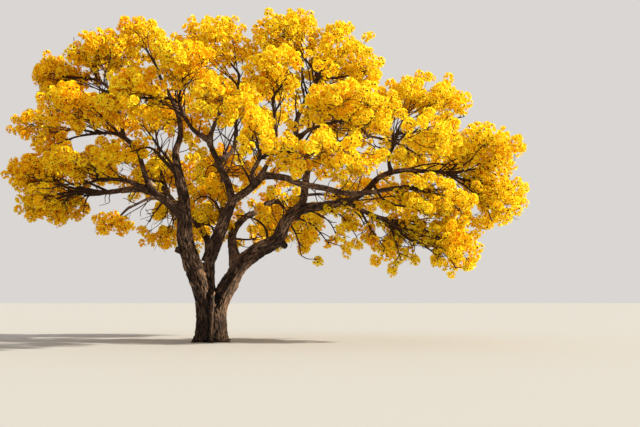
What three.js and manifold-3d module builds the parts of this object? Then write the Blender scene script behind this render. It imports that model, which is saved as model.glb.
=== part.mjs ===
// A yellow ipe tree in full bloom, bare of leaves. Millimetres, +Z up, +X to the right as the tree is seen
// from its front, +Y away from there. The origin is the middle of the flat cut under the trunk, at ground
// level. The bole forks into three stems. Boughs leave them and each other, and every mass of blossom is one
// stem that starts on the tip of a bough and branches by a seeded rule into twigs that end in flower heads.
import * as THREE from "three";
import { mergeVertices } from "three/addons/utils/BufferGeometryUtils.js";
import Module from "manifold-3d";

const wasm = await Module();
wasm.setup();

const BARK_COLOR = 0x5b4636;
const BARK_ROUGHNESS = 0.95;
const BLOSSOM_COLOR = 0xf2b705;
const BLOSSOM_ROUGHNESS = 0.7;

const GAP = 0.45; // clear space between pieces that meet
const KINK_STEP = 430; // a limb changes direction a little about this often
const KINK = 30; // how far a limb strays at each kink
const COLLAR = 0.22; // share by which a bough swells where it leaves its carrier
const ROUND_SIDES = 8;
const SLIM_SIDES = 6;
const SLIM_RADIUS = 60; // a limb with a thinner foot gets SLIM_SIDES

const TRUNK_HEIGHT = 1080; // of the single bole, up to the lower fork
const BOLE_RADIUS = 290;
const FLARE = 70; // extra radius where the bole meets the ground
const FLARE_HEIGHT = 210;
const BOLE_DOME = 0.45; // share by which the bole draws in at its top, between the stems
const RIB_COUNT = 5; // ribs that run up the bole from the root flare
const RIB_DEPTH = 0.07;
const ROOT_RIB_DEPTH = 0.11;
const RIB_TURN = 0.6; // bearing of the ribs, in radians
const ROOT_TURN = 1.1; // and of the lesser ones between them
const DOME_START = 0.6; // share of the bole's height where it starts to draw in
const RING_CROWDING = 1.5; // above 1, the bole's rings stand closer near the ground
const BOLE_SIDES = 24;
const BOLE_RINGS = 7;
const STEM_SIDES = 12; // of the three stems that the bole divides into

const HEAD_RADIUS = 285; // one solid head stands for a spray of flower heads
const HEAD_SQUASH = 0.9;
const HEAD_SPACING = 1.46; // heads of one mass stand this many radii apart or more
const LOWEST_HEAD = -0.75; // heads are thrown at the upper part of a mass, -1 would be all of it
const INNERMOST_HEAD = 0.6; // share of the way from the middle of a mass to its edge
const THROWS = 240; // how many heads are tried for a mass
const FIRST_WAYS = [[0, 0, 1], [1, 0, 0], [-1, 0, 0], [0, 1, 0], [0, -1, 0]]; // tried first of all
const HEAD_INSET = 0.8; // share of its radius that a head's middle stays inside the edge of its mass
const HEAD_CORE = 0.8; // share of a head's radius inside which no other twig or stem passes
const STEM_RADIUS = 30;
const STEM_APART = 1.2; // stems on one bough tip start this many stem radii to the side of its middle
const STEM_TAPER = 0.2; // share by which a stem gets thinner
const STEM_NECK = 70; // the stem runs straight out of its bough this far
const STEM_LIFT = 0.07; // how much a stem arches, as a share of its length
const HUB_SHARE = 0.8; // the stem runs this share of the way to the middle of its mass
const CLEARANCE = 4; // between the pieces of different masses, and from limbs
const TWIG_COSINE = 0.6; // of the angle at which twigs like to leave what bears them
const TWIG_REACH = 0.45; // a twig ends this share of the head's radius past its middle
const TWIG_TAPER = 0.9;
const ROOT_PART = 0.46; // radius of a twig's foot, as a share of that of its bearer there
const ROOT_SPACING = 50; // between the roots of twigs on the same bearer
const ROOT_PLACES = 16; // places tried along a bearer for the root of a twig
const FIRST_SHARE = 0.4; // twigs leave the outer part of a stem, from this share of its length
const LAST_SHARE = 0.98; // and up to this share
const BEARING = [0.15, 0.6]; // the part of a twig from the stem where others leave it
const NEAR_TWIGS = 2; // how many of the nearest twigs are tried as bearers before the stem
const SLOPE_STEP = 0.02; // share of a course over which its slope is taken

const BOUGH_SEED = 101;
const BOUGH_SEED_STEP = 37;
const MASS_SEED = 9001;
const MASS_SEED_STEP = 131;

// The three stems that the bole divides into, each up to the flat end where its leader starts.
const FORK_STEMS = {
  left: { path: [[-70, -30, 350], [-160, -60, 1000], [-400, -110, 1640]], foot: 218, tip: 190 },
  middle: { path: [[10, 60, 400], [-90, 70, 1100], [-100, 90, 1640]], foot: 200, tip: 150 },
  right: { path: [[60, 0, 450], [190, 0, 850], [390, 0, 1240]], foot: 210, tip: 195 },
};

// Each bough: what carries it, the share of the way along its carrier where it leaves, its radius at foot and
// tip, and the points that its course passes after its foot, the last being its tip.
const BOUGHS = {
  left_leader: {
    on: "left", at: 1, foot: 186, tip: 78,
    to: [[-560, -150, 2200], [-580, -250, 3050], [-750, -350, 3880]],
  },
  middle_leader: {
    on: "middle", at: 1, foot: 146, tip: 105,
    to: [[30, 120, 2020], [180, 110, 2400], [400, 50, 2930]],
  },
  right_limb: {
    on: "right", at: 1, foot: 178, tip: 84,
    to: [[790, 0, 1800], [1330, 50, 2110], [1630, 100, 2600], [2250, 100, 2820], [2800, 100, 2920]],
  },
  left_low_limb: {
    on: "left_leader", at: 0.45, foot: 96, tip: 38,
    to: [[-1330, -450, 3130], [-1950, -400, 3050], [-2650, -300, 3150]],
  },
  left_sprig_limb: {
    on: "left_low_limb", at: 0.2, foot: 40, tip: 26,
    to: [[-1250, -850, 2870], [-1480, -1000, 2700]],
  },
  left_reach_limb: {
    on: "left_low_limb", at: 0.38, foot: 55, tip: 36,
    to: [[-1600, -600, 3270], [-2150, -800, 3280]],
  },
  left_rising_limb: {
    on: "left_low_limb", at: 0.34, foot: 60, tip: 36,
    to: [[-1350, -600, 3500], [-1600, -750, 4080], [-2250, -600, 4260]],
  },
  left_upper_limb: {
    on: "left_rising_limb", at: 0.7, foot: 42, tip: 30,
    to: [[-1900, -650, 4750], [-2150, -400, 5300], [-2650, -100, 5540]],
  },
  left_top_leader: {
    on: "left_leader", at: 1, foot: 68, tip: 36,
    to: [[-620, -400, 4400], [-750, -400, 4850], [-1080, -250, 5450]],
  },
  middle_left: {
    on: "middle_leader", at: 1, foot: 82, tip: 36,
    to: [[230, -100, 3550], [-20, -500, 4110], [270, -1100, 4650]],
  },
  cross_limb: {
    on: "middle_left", at: 0.62, foot: 52, tip: 32,
    to: [[-290, -700, 4270], [-550, -1200, 4760]],
  },
  top_left_leader: {
    on: "middle_left", at: 0.4, foot: 52, tip: 32,
    to: [[470, 150, 4150], [400, 350, 4800], [480, 480, 5700]],
  },
  middle_right: {
    on: "middle_leader", at: 1, foot: 90, tip: 42,
    to: [[1150, -200, 3430], [1650, -300, 3300], [2950, -600, 3030], [4000, -600, 3150]],
  },
  front_top_limb: {
    on: "middle_right", at: 0.17, foot: 55, tip: 32,
    to: [[1300, -450, 3850], [1380, -750, 4350], [1300, -1000, 4800]],
  },
  front_limb: {
    on: "middle_right", at: 0.16, foot: 52, tip: 36,
    to: [[900, -900, 3350], [1150, -1900, 3550]],
  },
  right_riser: {
    on: "right_limb", at: 0.62, foot: 88, tip: 38,
    to: [[1900, 250, 3100], [2000, 250, 3850], [1740, 100, 4500], [2200, 100, 5600]],
  },
  front_high_limb: {
    on: "right_riser", at: 0.56, foot: 46, tip: 32,
    to: [[2250, -600, 4420], [2800, -1100, 4420]],
  },
  right_tip_limb: {
    on: "right_limb", at: 1, foot: 74, tip: 40,
    to: [[3350, 100, 3250], [3800, 50, 3550], [4900, 0, 3520]],
  },
  right_up_limb: {
    on: "right_tip_limb", at: 0.5, foot: 42, tip: 30,
    to: [[3700, -400, 3920], [3800, -900, 4200]],
  },
  right_low_limb: {
    on: "right_limb", at: 1, foot: 58, tip: 42,
    to: [[3150, 50, 2700], [3750, -100, 2480]],
  },
  back_left_limb: {
    on: "middle_leader", at: 0.15, foot: 78, tip: 44,
    to: [[-250, 550, 2250], [-700, 1200, 2750], [-1350, 1800, 3400]],
  },
  back_mid_limb: {
    on: "middle_leader", at: 0.5, foot: 72, tip: 40,
    to: [[120, 900, 3000], [-50, 1850, 3950]],
  },
  back_right_limb: {
    on: "right_limb", at: 0.1, foot: 105, tip: 46,
    to: [[360, 500, 2250], [850, 1400, 2900], [1600, 2150, 3250]],
  },
  back_crest_limb: {
    on: "right_riser", at: 0.34, foot: 54, tip: 38,
    to: [[2500, 900, 4250], [3300, 1500, 4600]],
  },
};

// Each mass of blossom: the bough whose tip carries it, its middle, and its reach along X, Y and Z.
const MASSES = {
  left_tip: { on: "left_low_limb", middle: [-3600, -300, 3400], reach: [640, 950, 420] },
  left_hem: { on: "left_low_limb", middle: [-3450, 500, 2850], reach: [850, 1000, 460] },
  left_flat: { on: "left_reach_limb", middle: [-2200, -1400, 3500], reach: [950, 900, 500] },
  left_sprig: { on: "left_sprig_limb", middle: [-1850, -1150, 2300], reach: [440, 460, 280] },
  left_point: { on: "left_rising_limb", middle: [-3650, 100, 4400], reach: [650, 1050, 480] },
  left_body: { on: "left_rising_limb", middle: [-2500, -1300, 4600], reach: [900, 1050, 600] },
  left_upper_tip: { on: "left_upper_limb", middle: [-3420, 300, 5550], reach: [600, 1000, 450] },
  left_crest: { on: "left_upper_limb", middle: [-2280, -200, 5960], reach: [800, 1050, 600] },
  left_top: { on: "left_top_leader", middle: [-1550, 200, 6360], reach: [750, 1150, 580] },
  left_face: { on: "cross_limb", middle: [-1350, -1850, 4700], reach: [800, 900, 560] },
  ridge_upper: { on: "cross_limb", middle: [-350, -1900, 5250], reach: [800, 1000, 500] },
  ridge_mid: { on: "middle_left", middle: [480, -2600, 4500], reach: [700, 950, 540] },
  ridge_low: { on: "front_limb", middle: [1050, -3100, 3700], reach: [540, 900, 560] },
  top_left: { on: "top_left_leader", middle: [20, 400, 6360], reach: [1040, 1200, 680] },
  top_mid: { on: "right_riser", middle: [1500, 200, 6520], reach: [840, 1100, 600] },
  top_right: { on: "right_riser", middle: [2700, 200, 5900], reach: [1000, 1200, 940] },
  front_top: { on: "front_top_limb", middle: [1650, -1650, 5200], reach: [950, 1000, 540] },
  front_high: { on: "front_high_limb", middle: [2750, -2300, 4400], reach: [1000, 1050, 540] },
  front_centre: { on: "front_limb", middle: [2300, -3000, 3400], reach: [1150, 1050, 500] },
  right_shoulder: { on: "right_up_limb", middle: [4350, 0, 5080], reach: [1100, 1150, 600] },
  right_front: { on: "right_up_limb", middle: [4000, -1900, 3900], reach: [1000, 1100, 560] },
  right_upper: { on: "right_tip_limb", middle: [5580, -300, 3900], reach: [1000, 1100, 620] },
  right_tip: { on: "right_tip_limb", middle: [5980, 300, 2980], reach: [780, 1080, 780] },
  right_mid: { on: "middle_right", middle: [4600, -850, 2900], reach: [800, 950, 560] },
  right_hang: { on: "right_low_limb", middle: [4980, -250, 2020], reach: [640, 850, 780] },
  right_hem: { on: "right_low_limb", middle: [3900, 0, 2120], reach: [740, 780, 600] },
  back_left_low: { on: "back_left_limb", middle: [-1180, 2600, 2480], reach: [960, 1150, 740] },
  back_left_mid: { on: "back_left_limb", middle: [-2000, 2200, 3850], reach: [1300, 1200, 740] },
  back_left_crest: { on: "back_left_limb", middle: [-1700, 2100, 5200], reach: [1250, 1200, 700] },
  back_mid: { on: "back_mid_limb", middle: [-200, 3200, 3900], reach: [1220, 1050, 850] },
  back_crest: { on: "back_mid_limb", middle: [500, 2500, 5550], reach: [1250, 1200, 680] },
  back_right_low: { on: "back_right_limb", middle: [1500, 2700, 2780], reach: [1000, 1150, 980] },
  back_right: { on: "back_right_limb", middle: [3300, 2800, 3250], reach: [1100, 1150, 620] },
  back_right_crest: { on: "back_crest_limb", middle: [2950, 2300, 5150], reach: [1150, 1200, 660] },
  back_right_tip: { on: "back_crest_limb", middle: [4900, 2100, 4150], reach: [1050, 1150, 640] },
};

const vector = (xyz) => new THREE.Vector3(...xyz);
const UP = vector([0, 0, 1]);

// A small generator of even chances, the same for the same seed.
class Chance {
  constructor(seed) {
    this.state = seed;
  }
  next() {
    this.state = (this.state * 1664525 + 1013904223) % 4294967296;
    return this.state / 4294967296;
  }
  around(reach) {
    return (this.next() * 2 - 1) * reach;
  }
}

// The corners of a limb's course: evenly spaced along a smooth curve through its points, then moved a little
// by chance, all but the first and the last.
function crooked(points, seed, kink = KINK) {
  const curve = new THREE.CatmullRomCurve3(points, false, "catmullrom", 0.5);
  const count = Math.max(2, Math.round(curve.getLength() / KINK_STEP));
  const corners = curve.getSpacedPoints(count);
  const chance = new Chance(seed);
  return corners.map((corner, i) => {
    const stray = vector([chance.around(kink), chance.around(kink), chance.around(kink)]);
    return i === 0 || i === count ? corner : corner.add(stray);
  });
}

// The point a share of the way along a course.
function along(corners, share) {
  const lengths = corners.slice(1).map((corner, i) => corner.distanceTo(corners[i]));
  let left = Math.min(Math.max(share, 0), 1) * lengths.reduce((a, b) => a + b);
  for (let i = 0; i < lengths.length; i++) {
    if (left <= lengths[i] || i === lengths.length - 1)
      return corners[i].clone().lerp(corners[i + 1], Math.min(left / lengths[i], 1));
    left -= lengths[i];
  }
}

// A closed tube round a course of corners: a cylinder whose rings are moved to the corners, one by one.
function tube(corners, radii, sides) {
  const last = corners.length - 1;
  const geometry = new THREE.CylinderGeometry(1, 1, 1, sides, last);
  const frames = [];
  let side = null;
  for (let i = 0; i <= last; i++) {
    const tangent = corners[Math.min(i + 1, last)].clone().sub(corners[Math.max(i - 1, 0)]).normalize();
    const seed = Math.abs(tangent.z) < 0.9 ? UP : vector([1, 0, 0]);
    side = (side ?? seed.clone().cross(tangent)).clone();
    side.addScaledVector(tangent, -side.dot(tangent)).normalize();
    frames.push({ side, across: side.clone().cross(tangent) });
  }
  const position = geometry.getAttribute("position");
  for (let v = 0; v < position.count; v++) {
    const ring = Math.round((position.getY(v) + 0.5) * last);
    const { side: u, across: w } = frames[ring];
    const moved = corners[ring].clone();
    moved.addScaledVector(u, position.getX(v) * radii[ring]);
    moved.addScaledVector(w, position.getZ(v) * radii[ring]);
    position.setXYZ(v, moved.x, moved.y, moved.z);
  }
  return solidOf(geometry);
}

// A closed mesh as a solid that can be joined and cut.
function solidOf(geometry) {
  const bare = geometry.clone();
  bare.deleteAttribute("normal");
  bare.deleteAttribute("uv");
  const merged = mergeVertices(bare, 1e-3);
  const vertProperties = new Float32Array(merged.getAttribute("position").array);
  const triVerts = merged.index ? new Uint32Array(merged.index.array) : null;
  return new wasm.Manifold(new wasm.Mesh({ numProp: 3, vertProperties, triVerts }));
}

// A solid as a mesh node.
function nodeOf(name, solid, color, roughness) {
  const { vertProperties, triVerts } = solid.getMesh();
  const geometry = new THREE.BufferGeometry();
  geometry.setAttribute("position", new THREE.BufferAttribute(new Float32Array(vertProperties), 3));
  geometry.setIndex(new THREE.BufferAttribute(new Uint32Array(triVerts), 1));
  geometry.computeVertexNormals();
  const material = new THREE.MeshStandardMaterial({ color, roughness, metalness: 0 });
  const mesh = new THREE.Mesh(geometry, material);
  mesh.name = name;
  return mesh;
}

const biggest = (solid) => solid.decompose().reduce((a, b) => (a.volume() > b.volume() ? a : b));

// The radius of the bole at a height, on a bearing: it flares into root ribs at the ground.
function boleRadius(height, bearing) {
  const flare = Math.exp(-height / FLARE_HEIGHT);
  const ribs = Math.cos(RIB_COUNT * bearing + RIB_TURN) * (RIB_DEPTH + ROOT_RIB_DEPTH * flare);
  const roots = Math.cos((RIB_COUNT + 2) * bearing - ROOT_TURN) * RIB_DEPTH * flare;
  const domed = Math.max(0, (height / TRUNK_HEIGHT - DOME_START) / (1 - DOME_START));
  return (BOLE_RADIUS + FLARE * flare) * (1 + ribs + roots) * (1 - BOLE_DOME * domed ** 2);
}

// The single bole, cut flat at the ground and closed where the stems take over.
function bole(grow) {
  const geometry = new THREE.CylinderGeometry(1, 1, 1, BOLE_SIDES, BOLE_RINGS);
  const position = geometry.getAttribute("position");
  for (let v = 0; v < position.count; v++) {
    const share = position.getY(v) + 0.5;
    const height = TRUNK_HEIGHT * share ** RING_CROWDING;
    const [x, y] = [position.getX(v), -position.getZ(v)];
    const radius = Math.hypot(x, y) < 0.5 ? 0 : boleRadius(height, Math.atan2(y, x)) + grow;
    position.setXYZ(v, x * radius, y * radius, height + (share === 1 ? grow : 0));
  }
  return solidOf(geometry);
}

// Radii that change evenly from foot to tip.
function taper(foot, tip, count) {
  return Array.from({ length: count }, (_, i) => foot + ((tip - foot) * i) / (count - 1));
}

// Radii of a bough at its corners: an even taper that swells into a collar where it leaves a carrier's side.
function boughRadii(bough, corners) {
  const collar = bough.at < 1 ? 1 + COLLAR : 1;
  return taper(bough.foot, bough.tip, corners.length).map((r, i) => (i === 0 ? r * collar : r));
}

// The way in which a limb points at its tip.
function outwardAt(limb) {
  return limb.corners.at(-1).clone().sub(limb.corners.at(-2)).normalize();
}

// A bough's solid, grown all round by a margin where it serves to cut a neighbour.
function boughSolid(limb, grow) {
  const { corners, radii, sides } = limb;
  const inward = corners[0].clone().sub(corners[1]).normalize();
  const foot = corners[0].clone().addScaledVector(inward, grow);
  const tip = corners.at(-1).clone().addScaledVector(outwardAt(limb), grow);
  const grown = radii.map((r) => r + grow);
  return tube([foot, ...corners.slice(1, -1), tip], grown, sides);
}

// The shortest distance between two straight pieces, each from one point to another.
function distance(a0, a1, b0, b1) {
  const u = a1.clone().sub(a0);
  const v = b1.clone().sub(b0);
  const w = a0.clone().sub(b0);
  const [uu, uv, vv, uw, vw] = [u.dot(u), u.dot(v), v.dot(v), u.dot(w), v.dot(w)];
  const spread = uu * vv - uv * uv;
  let s = spread > 1e-9 * uu * vv ? Math.min(Math.max((uv * vw - vv * uw) / spread, 0), 1) : 0;
  let t = vv > 0 ? Math.min(Math.max((uv * s + vw) / vv, 0), 1) : 0;
  s = uu > 0 ? Math.min(Math.max((uv * t - uw) / uu, 0), 1) : 0;
  return w.addScaledVector(u, s).addScaledVector(v, -t).length();
}

// The shortest distance from a point to a course.
function courseDistance(course, point) {
  return Math.min(...course.slice(1).map((corner, i) => distance(point, point, course[i], corner)));
}

// True where a piece with a radius stays clear of every claimed piece but those of its own mass.
function isClear(from, to, radius, owner) {
  const others = claims.filter((c) => c.owner !== owner);
  return others.every((c) => distance(from, to, c.from, c.to) > radius + c.radius + CLEARANCE);
}

// A three-sided twig that tapers to a point inside the head that it bears.
function twigSolid({ from, to, radius }) {
  const way = to.clone().sub(from).normalize();
  const length = from.distanceTo(to) + HEAD_RADIUS * TWIG_REACH;
  const geometry = new THREE.ConeGeometry(radius, length, 3, 1);
  geometry.translate(0, length / 2, 0);
  geometry.applyQuaternion(new THREE.Quaternion().setFromUnitVectors(vector([0, 1, 0]), way));
  geometry.translate(from.x, from.y, from.z);
  return solidOf(geometry);
}

// A head: eight faces, two of them square to the twig that bears it, squashed a little along that twig.
function head({ from, to, spin }) {
  const geometry = new THREE.OctahedronGeometry(HEAD_RADIUS, 0);
  const faceNormal = vector([1, 1, 1]).normalize();
  const way = to.clone().sub(from).normalize();
  geometry.applyQuaternion(new THREE.Quaternion().setFromUnitVectors(faceNormal, UP));
  geometry.rotateZ(spin);
  geometry.scale(1, 1, HEAD_SQUASH);
  geometry.applyQuaternion(new THREE.Quaternion().setFromUnitVectors(UP, way));
  geometry.translate(to.x, to.y, to.z);
  return solidOf(geometry);
}

// A way out from the middle of a mass, by chance, over the part of a sphere that carries heads.
function thrown(chance) {
  const z = LOWEST_HEAD + (1 - LOWEST_HEAD) * chance.next();
  const bearing = chance.next() * Math.PI * 2;
  const ring = Math.sqrt(1 - z * z);
  return vector([ring * Math.cos(bearing), ring * Math.sin(bearing), z]);
}

// The course of a mass's stem: it starts flat on the tip of its bough, beside the stems of the other masses
// that the tip carries, and arches over to a hub inside the mass.
function stemOf(name, limb) {
  const middle = vector(MASSES[name].middle);
  const outward = outwardAt(limb);
  const foot = limb.corners.at(-1).clone().addScaledVector(outward, GAP);
  const others = Object.keys(MASSES).filter((other) => other !== name);
  const fellows = others.filter((other) => MASSES[other].on === MASSES[name].on);
  if (fellows.length) {
    const between = vector([0, 0, 0]);
    for (const fellow of fellows) between.add(vector(MASSES[fellow].middle));
    const apart = middle.clone().sub(between.divideScalar(fellows.length));
    apart.addScaledVector(outward, -apart.dot(outward)).normalize();
    foot.addScaledVector(apart, STEM_RADIUS * STEM_APART);
  }
  const neck = foot.clone().addScaledVector(outward, STEM_NECK);
  const hub = foot.clone().lerp(middle, HUB_SHARE);
  const bend = foot.clone().lerp(hub, 0.5).addScaledVector(UP, foot.distanceTo(hub) * STEM_LIFT);
  return [foot, neck, bend, hub];
}

// The root for a twig to a point: of the places on a bearer that are clear of its other roots, the one where
// the twig leaves nearest to the angle that twigs like.
function rootOn(bearer, to) {
  const { course, first, last, roots } = bearer;
  let best = null;
  for (let i = 0; i <= ROOT_PLACES; i++) {
    const share = first + ((last - first) * i) / ROOT_PLACES;
    const from = along(course, share);
    const ahead = along(course, share + SLOPE_STEP).sub(along(course, share - SLOPE_STEP)).normalize();
    const miss = Math.abs(to.clone().sub(from).normalize().dot(ahead) - TWIG_COSINE);
    const isFree = roots.every((root) => root.distanceTo(from) > ROOT_SPACING);
    const radius = bearer.radius * (1 - share * bearer.taper) * ROOT_PART;
    if (isFree && (!best || miss < best.miss)) best = { from, miss, radius };
  }
  return best;
}

// The twigs of a mass, each with the head at its end. They leave the stem, or a twig that does where one is
// nearer. A head that would touch a limb, another mass or its own fellows is skipped, and so is such a twig.
function growMass(name, mass, stem, seed) {
  const chance = new Chance(seed);
  const middle = vector(mass.middle);
  const room = vector(mass.reach).subScalar(HEAD_RADIUS * HEAD_INSET);
  const stemBearer = {
    course: stem, first: FIRST_SHARE, last: LAST_SHARE, roots: [], radius: STEM_RADIUS, taper: STEM_TAPER,
  };
  const bearers = [];
  const twigs = [];
  for (let i = 0; i < THROWS; i++) {
    const isFixed = i < FIRST_WAYS.length;
    const way = isFixed ? vector(FIRST_WAYS[i]) : thrown(chance);
    const share = isFixed ? 1 : INNERMOST_HEAD + (1 - INNERMOST_HEAD) * chance.next();
    const to = middle.clone().add(way.multiply(room).multiplyScalar(share));
    const spin = chance.next() * Math.PI;
    if (twigs.some((t) => t.to.distanceTo(to) < HEAD_RADIUS * HEAD_SPACING)) continue;
    if (courseDistance(stem, to) < HEAD_RADIUS * HEAD_CORE) continue;
    if (!isClear(to, to, HEAD_RADIUS, name)) continue;
    const reach = stem.at(-1).distanceTo(to);
    const near = bearers.filter((b) => b.course[1].distanceTo(to) < reach);
    near.sort((x, y) => x.course[1].distanceTo(to) - y.course[1].distanceTo(to));
    for (const bearer of [...near.slice(0, NEAR_TWIGS), stemBearer]) {
      const root = rootOn(bearer, to);
      if (!root) continue;
      const { from, radius } = root;
      const isHit = twigs.some((t) => distance(from, to, t.to, t.to) < HEAD_RADIUS * HEAD_CORE);
      if (isHit || !isClear(from, to, radius, name)) continue;
      twigs.push({ from, to, spin, radius });
      bearer.roots.push(from);
      if (bearer === stemBearer) {
        const [first, last] = BEARING;
        bearers.push({ course: [from, to], first, last, roots: [], radius, taper: TWIG_TAPER });
      }
      break;
    }
  }
  return twigs;
}

// The fused solid of a mass.
function massSolid(stem, twigs) {
  const radii = taper(STEM_RADIUS, STEM_RADIUS * (1 - STEM_TAPER), stem.length);
  const pieces = [tube(stem, radii, 3)];
  for (const twig of twigs) pieces.push(twigSolid(twig), head(twig));
  return biggest(wasm.Manifold.union(pieces));
}

const tree = new THREE.Group();
tree.name = "yellow_ipe_tree";
const limbs = {};
const claims = [];

// Claims the space along a course for its owner.
function claimCourse(owner, corners, radii) {
  for (let i = 0; i + 1 < corners.length; i++) {
    const radius = Math.max(radii[i], radii[i + 1]);
    claims.push({ owner, from: corners[i], to: corners[i + 1], radius });
  }
}

// The bole and its three stems as one solid, grown by a margin where it serves to cut the boughs.
function trunkSolid(grow) {
  const parts = [bole(grow)];
  for (const [name, stem] of Object.entries(FORK_STEMS)) {
    const corners = crooked(stem.path.map(vector), BOUGH_SEED, 0);
    const radii = taper(stem.foot, stem.tip, corners.length);
    limbs[name] = { corners, radii };
    const end = corners.at(-1).clone().addScaledVector(outwardAt(limbs[name]), grow);
    const grown = radii.map((r) => r + grow);
    parts.push(tube([...corners.slice(0, -1), end], grown, STEM_SIDES));
  }
  return wasm.Manifold.union(parts);
}

tree.add(nodeOf("trunk", trunkSolid(0), BARK_COLOR, BARK_ROUGHNESS));
const cutters = [trunkSolid(GAP)];
claimCourse("trunk", [vector([0, 0, 0]), vector([0, 0, TRUNK_HEIGHT])], [BOLE_RADIUS, BOLE_RADIUS]);
for (const name of Object.keys(FORK_STEMS)) claimCourse("trunk", limbs[name].corners, limbs[name].radii);

// Each bough is cut clear of the trunk and of the boughs before it.
Object.entries(BOUGHS).forEach(([name, bough], i) => {
  const foot = along(limbs[bough.on].corners, bough.at);
  const corners = crooked([foot, ...bough.to.map(vector)], BOUGH_SEED + i * BOUGH_SEED_STEP);
  const radii = boughRadii(bough, corners);
  const sides = bough.foot < SLIM_RADIUS ? SLIM_SIDES : ROUND_SIDES;
  limbs[name] = { corners, radii, sides };
  const solid = cutters.reduce((s, cutter) => s.subtract(cutter), boughSolid(limbs[name], 0));
  cutters.push(boughSolid(limbs[name], GAP));
  claimCourse(name, corners, radii);
  tree.add(nodeOf(name, biggest(solid), BARK_COLOR, BARK_ROUGHNESS));
});

// All stems claim their space, but for the necks that start beside each other, before the first mass grows.
const stems = {};
for (const [name, mass] of Object.entries(MASSES)) {
  stems[name] = stemOf(name, limbs[mass.on]);
  claimCourse(name, stems[name].slice(1), taper(STEM_RADIUS, STEM_RADIUS, stems[name].length - 1));
}
Object.entries(MASSES).forEach(([name, mass], i) => {
  const twigs = growMass(name, mass, stems[name], MASS_SEED + i * MASS_SEED_STEP);
  for (const { from, to, radius } of twigs) {
    claimCourse(name, [to, to], [HEAD_RADIUS, HEAD_RADIUS]);
    claimCourse(name, [from, to], [radius, radius]);
  }
  const solid = massSolid(stems[name], twigs);
  tree.add(nodeOf(`blossom_${name}`, solid, BLOSSOM_COLOR, BLOSSOM_ROUGHNESS));
});

export default tree;
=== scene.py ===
"""Dresses the yellow ipe tree: barked trunk and boughs, branching twigs, and clusters of trumpet flowers.

The limbs and twigs follow the tree's own growth rule, written again here in metres, and go on from
there to finer twigs that end in clusters. Everything rides on the one body of the tree.
"""

import functools
import math
from types import SimpleNamespace

import bpy
import numpy as np
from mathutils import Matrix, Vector, noise


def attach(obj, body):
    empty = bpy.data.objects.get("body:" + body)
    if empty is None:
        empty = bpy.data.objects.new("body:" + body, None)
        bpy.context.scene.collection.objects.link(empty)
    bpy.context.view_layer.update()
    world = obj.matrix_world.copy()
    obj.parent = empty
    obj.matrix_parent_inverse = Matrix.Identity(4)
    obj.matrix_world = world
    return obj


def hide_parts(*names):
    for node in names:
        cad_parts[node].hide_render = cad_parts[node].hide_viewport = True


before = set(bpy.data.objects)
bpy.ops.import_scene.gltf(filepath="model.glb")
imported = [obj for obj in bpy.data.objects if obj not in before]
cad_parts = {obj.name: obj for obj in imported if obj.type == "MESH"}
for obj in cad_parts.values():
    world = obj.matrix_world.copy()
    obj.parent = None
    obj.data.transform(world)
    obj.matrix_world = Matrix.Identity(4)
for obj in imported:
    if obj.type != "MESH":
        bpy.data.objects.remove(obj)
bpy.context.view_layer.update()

bl_info = {
    "name": "Yellow ipe tree",
    "version": (1, 0, 0),
    "blender": (4, 5, 0),
    "location": "View3D > Sidebar > Ipe tree",
    "description": "Bark, twigs and flower clusters for a yellow ipe tree in full bloom",
    "category": "Add Mesh",
}

BODY = "root"
MOST_TRIANGLES = 195000  # of one joined piece

# The growth rule's sizes. Lengths are in metres.
GAP = 0.00045  # between a bough's tip and the stem of a mass
KINK_STEP = 0.43  # between a limb's corners
KINK = 0.03  # by which a corner strays
COLLAR = 0.22  # by which a limb is thicker where it leaves another's side
TRUNK_HEIGHT = 1.08
BOLE_RADIUS = 0.29
FLARE = 0.07  # added to the bole at the ground
FLARE_HEIGHT = 0.21
BOLE_DOME = 0.45  # share of the bole's radius lost at its top
RIB_COUNT = 5
RIB_DEPTH = 0.07
ROOT_RIB_DEPTH = 0.11
RIB_TURN = 0.6
ROOT_TURN = 1.1
DOME_START = 0.6  # share of the bole's height
HEAD_RADIUS = 0.285
HEAD_SPACING = 1.46  # in radii
LOWEST_HEAD = -0.75  # of the way from a mass's middle to its top
INNERMOST_HEAD = 0.6  # of the way from a mass's middle to its edge
THROWS = 240  # tries to place a head, for each mass
FIRST_WAYS = ((0, 0, 1), (1, 0, 0), (-1, 0, 0), (0, 1, 0), (0, -1, 0))
HEAD_INSET = 0.8  # of a head's radius, inside its mass's reach
HEAD_CORE = 0.8  # of a head's radius, that no other twig or stem enters
STEM_RADIUS = 0.03
STEM_APART = 1.2  # radii between the feet of stems on one tip
STEM_TAPER = 0.2
STEM_NECK = 0.07
STEM_LIFT = 0.07
HUB_SHARE = 0.8  # of the way to a mass's middle, where its stem ends
CLEARANCE = 0.004
TWIG_COSINE = 0.6  # of the angle between a twig and its bearer
TWIG_TAPER = 0.9
ROOT_PART = 0.46  # a twig's radius, as a share of its bearer's
ROOT_SPACING = 0.05
ROOT_PLACES = 16
FIRST_SHARE = 0.4  # of a stem, where its twigs begin
LAST_SHARE = 0.98
BEARING = (0.15, 0.6)  # shares of a twig that bear others
NEAR_TWIGS = 2  # the most that are tried before the stem
SLOPE_STEP = 0.02  # share of a course to each side, over which its direction is read
PARALLEL = 1e-9  # two straight pieces count as parallel under this squared sine of their angle
BOUGH_SEED = 101
BOUGH_SEED_STEP = 37
MASS_SEED = 9001
MASS_SEED_STEP = 131

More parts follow.
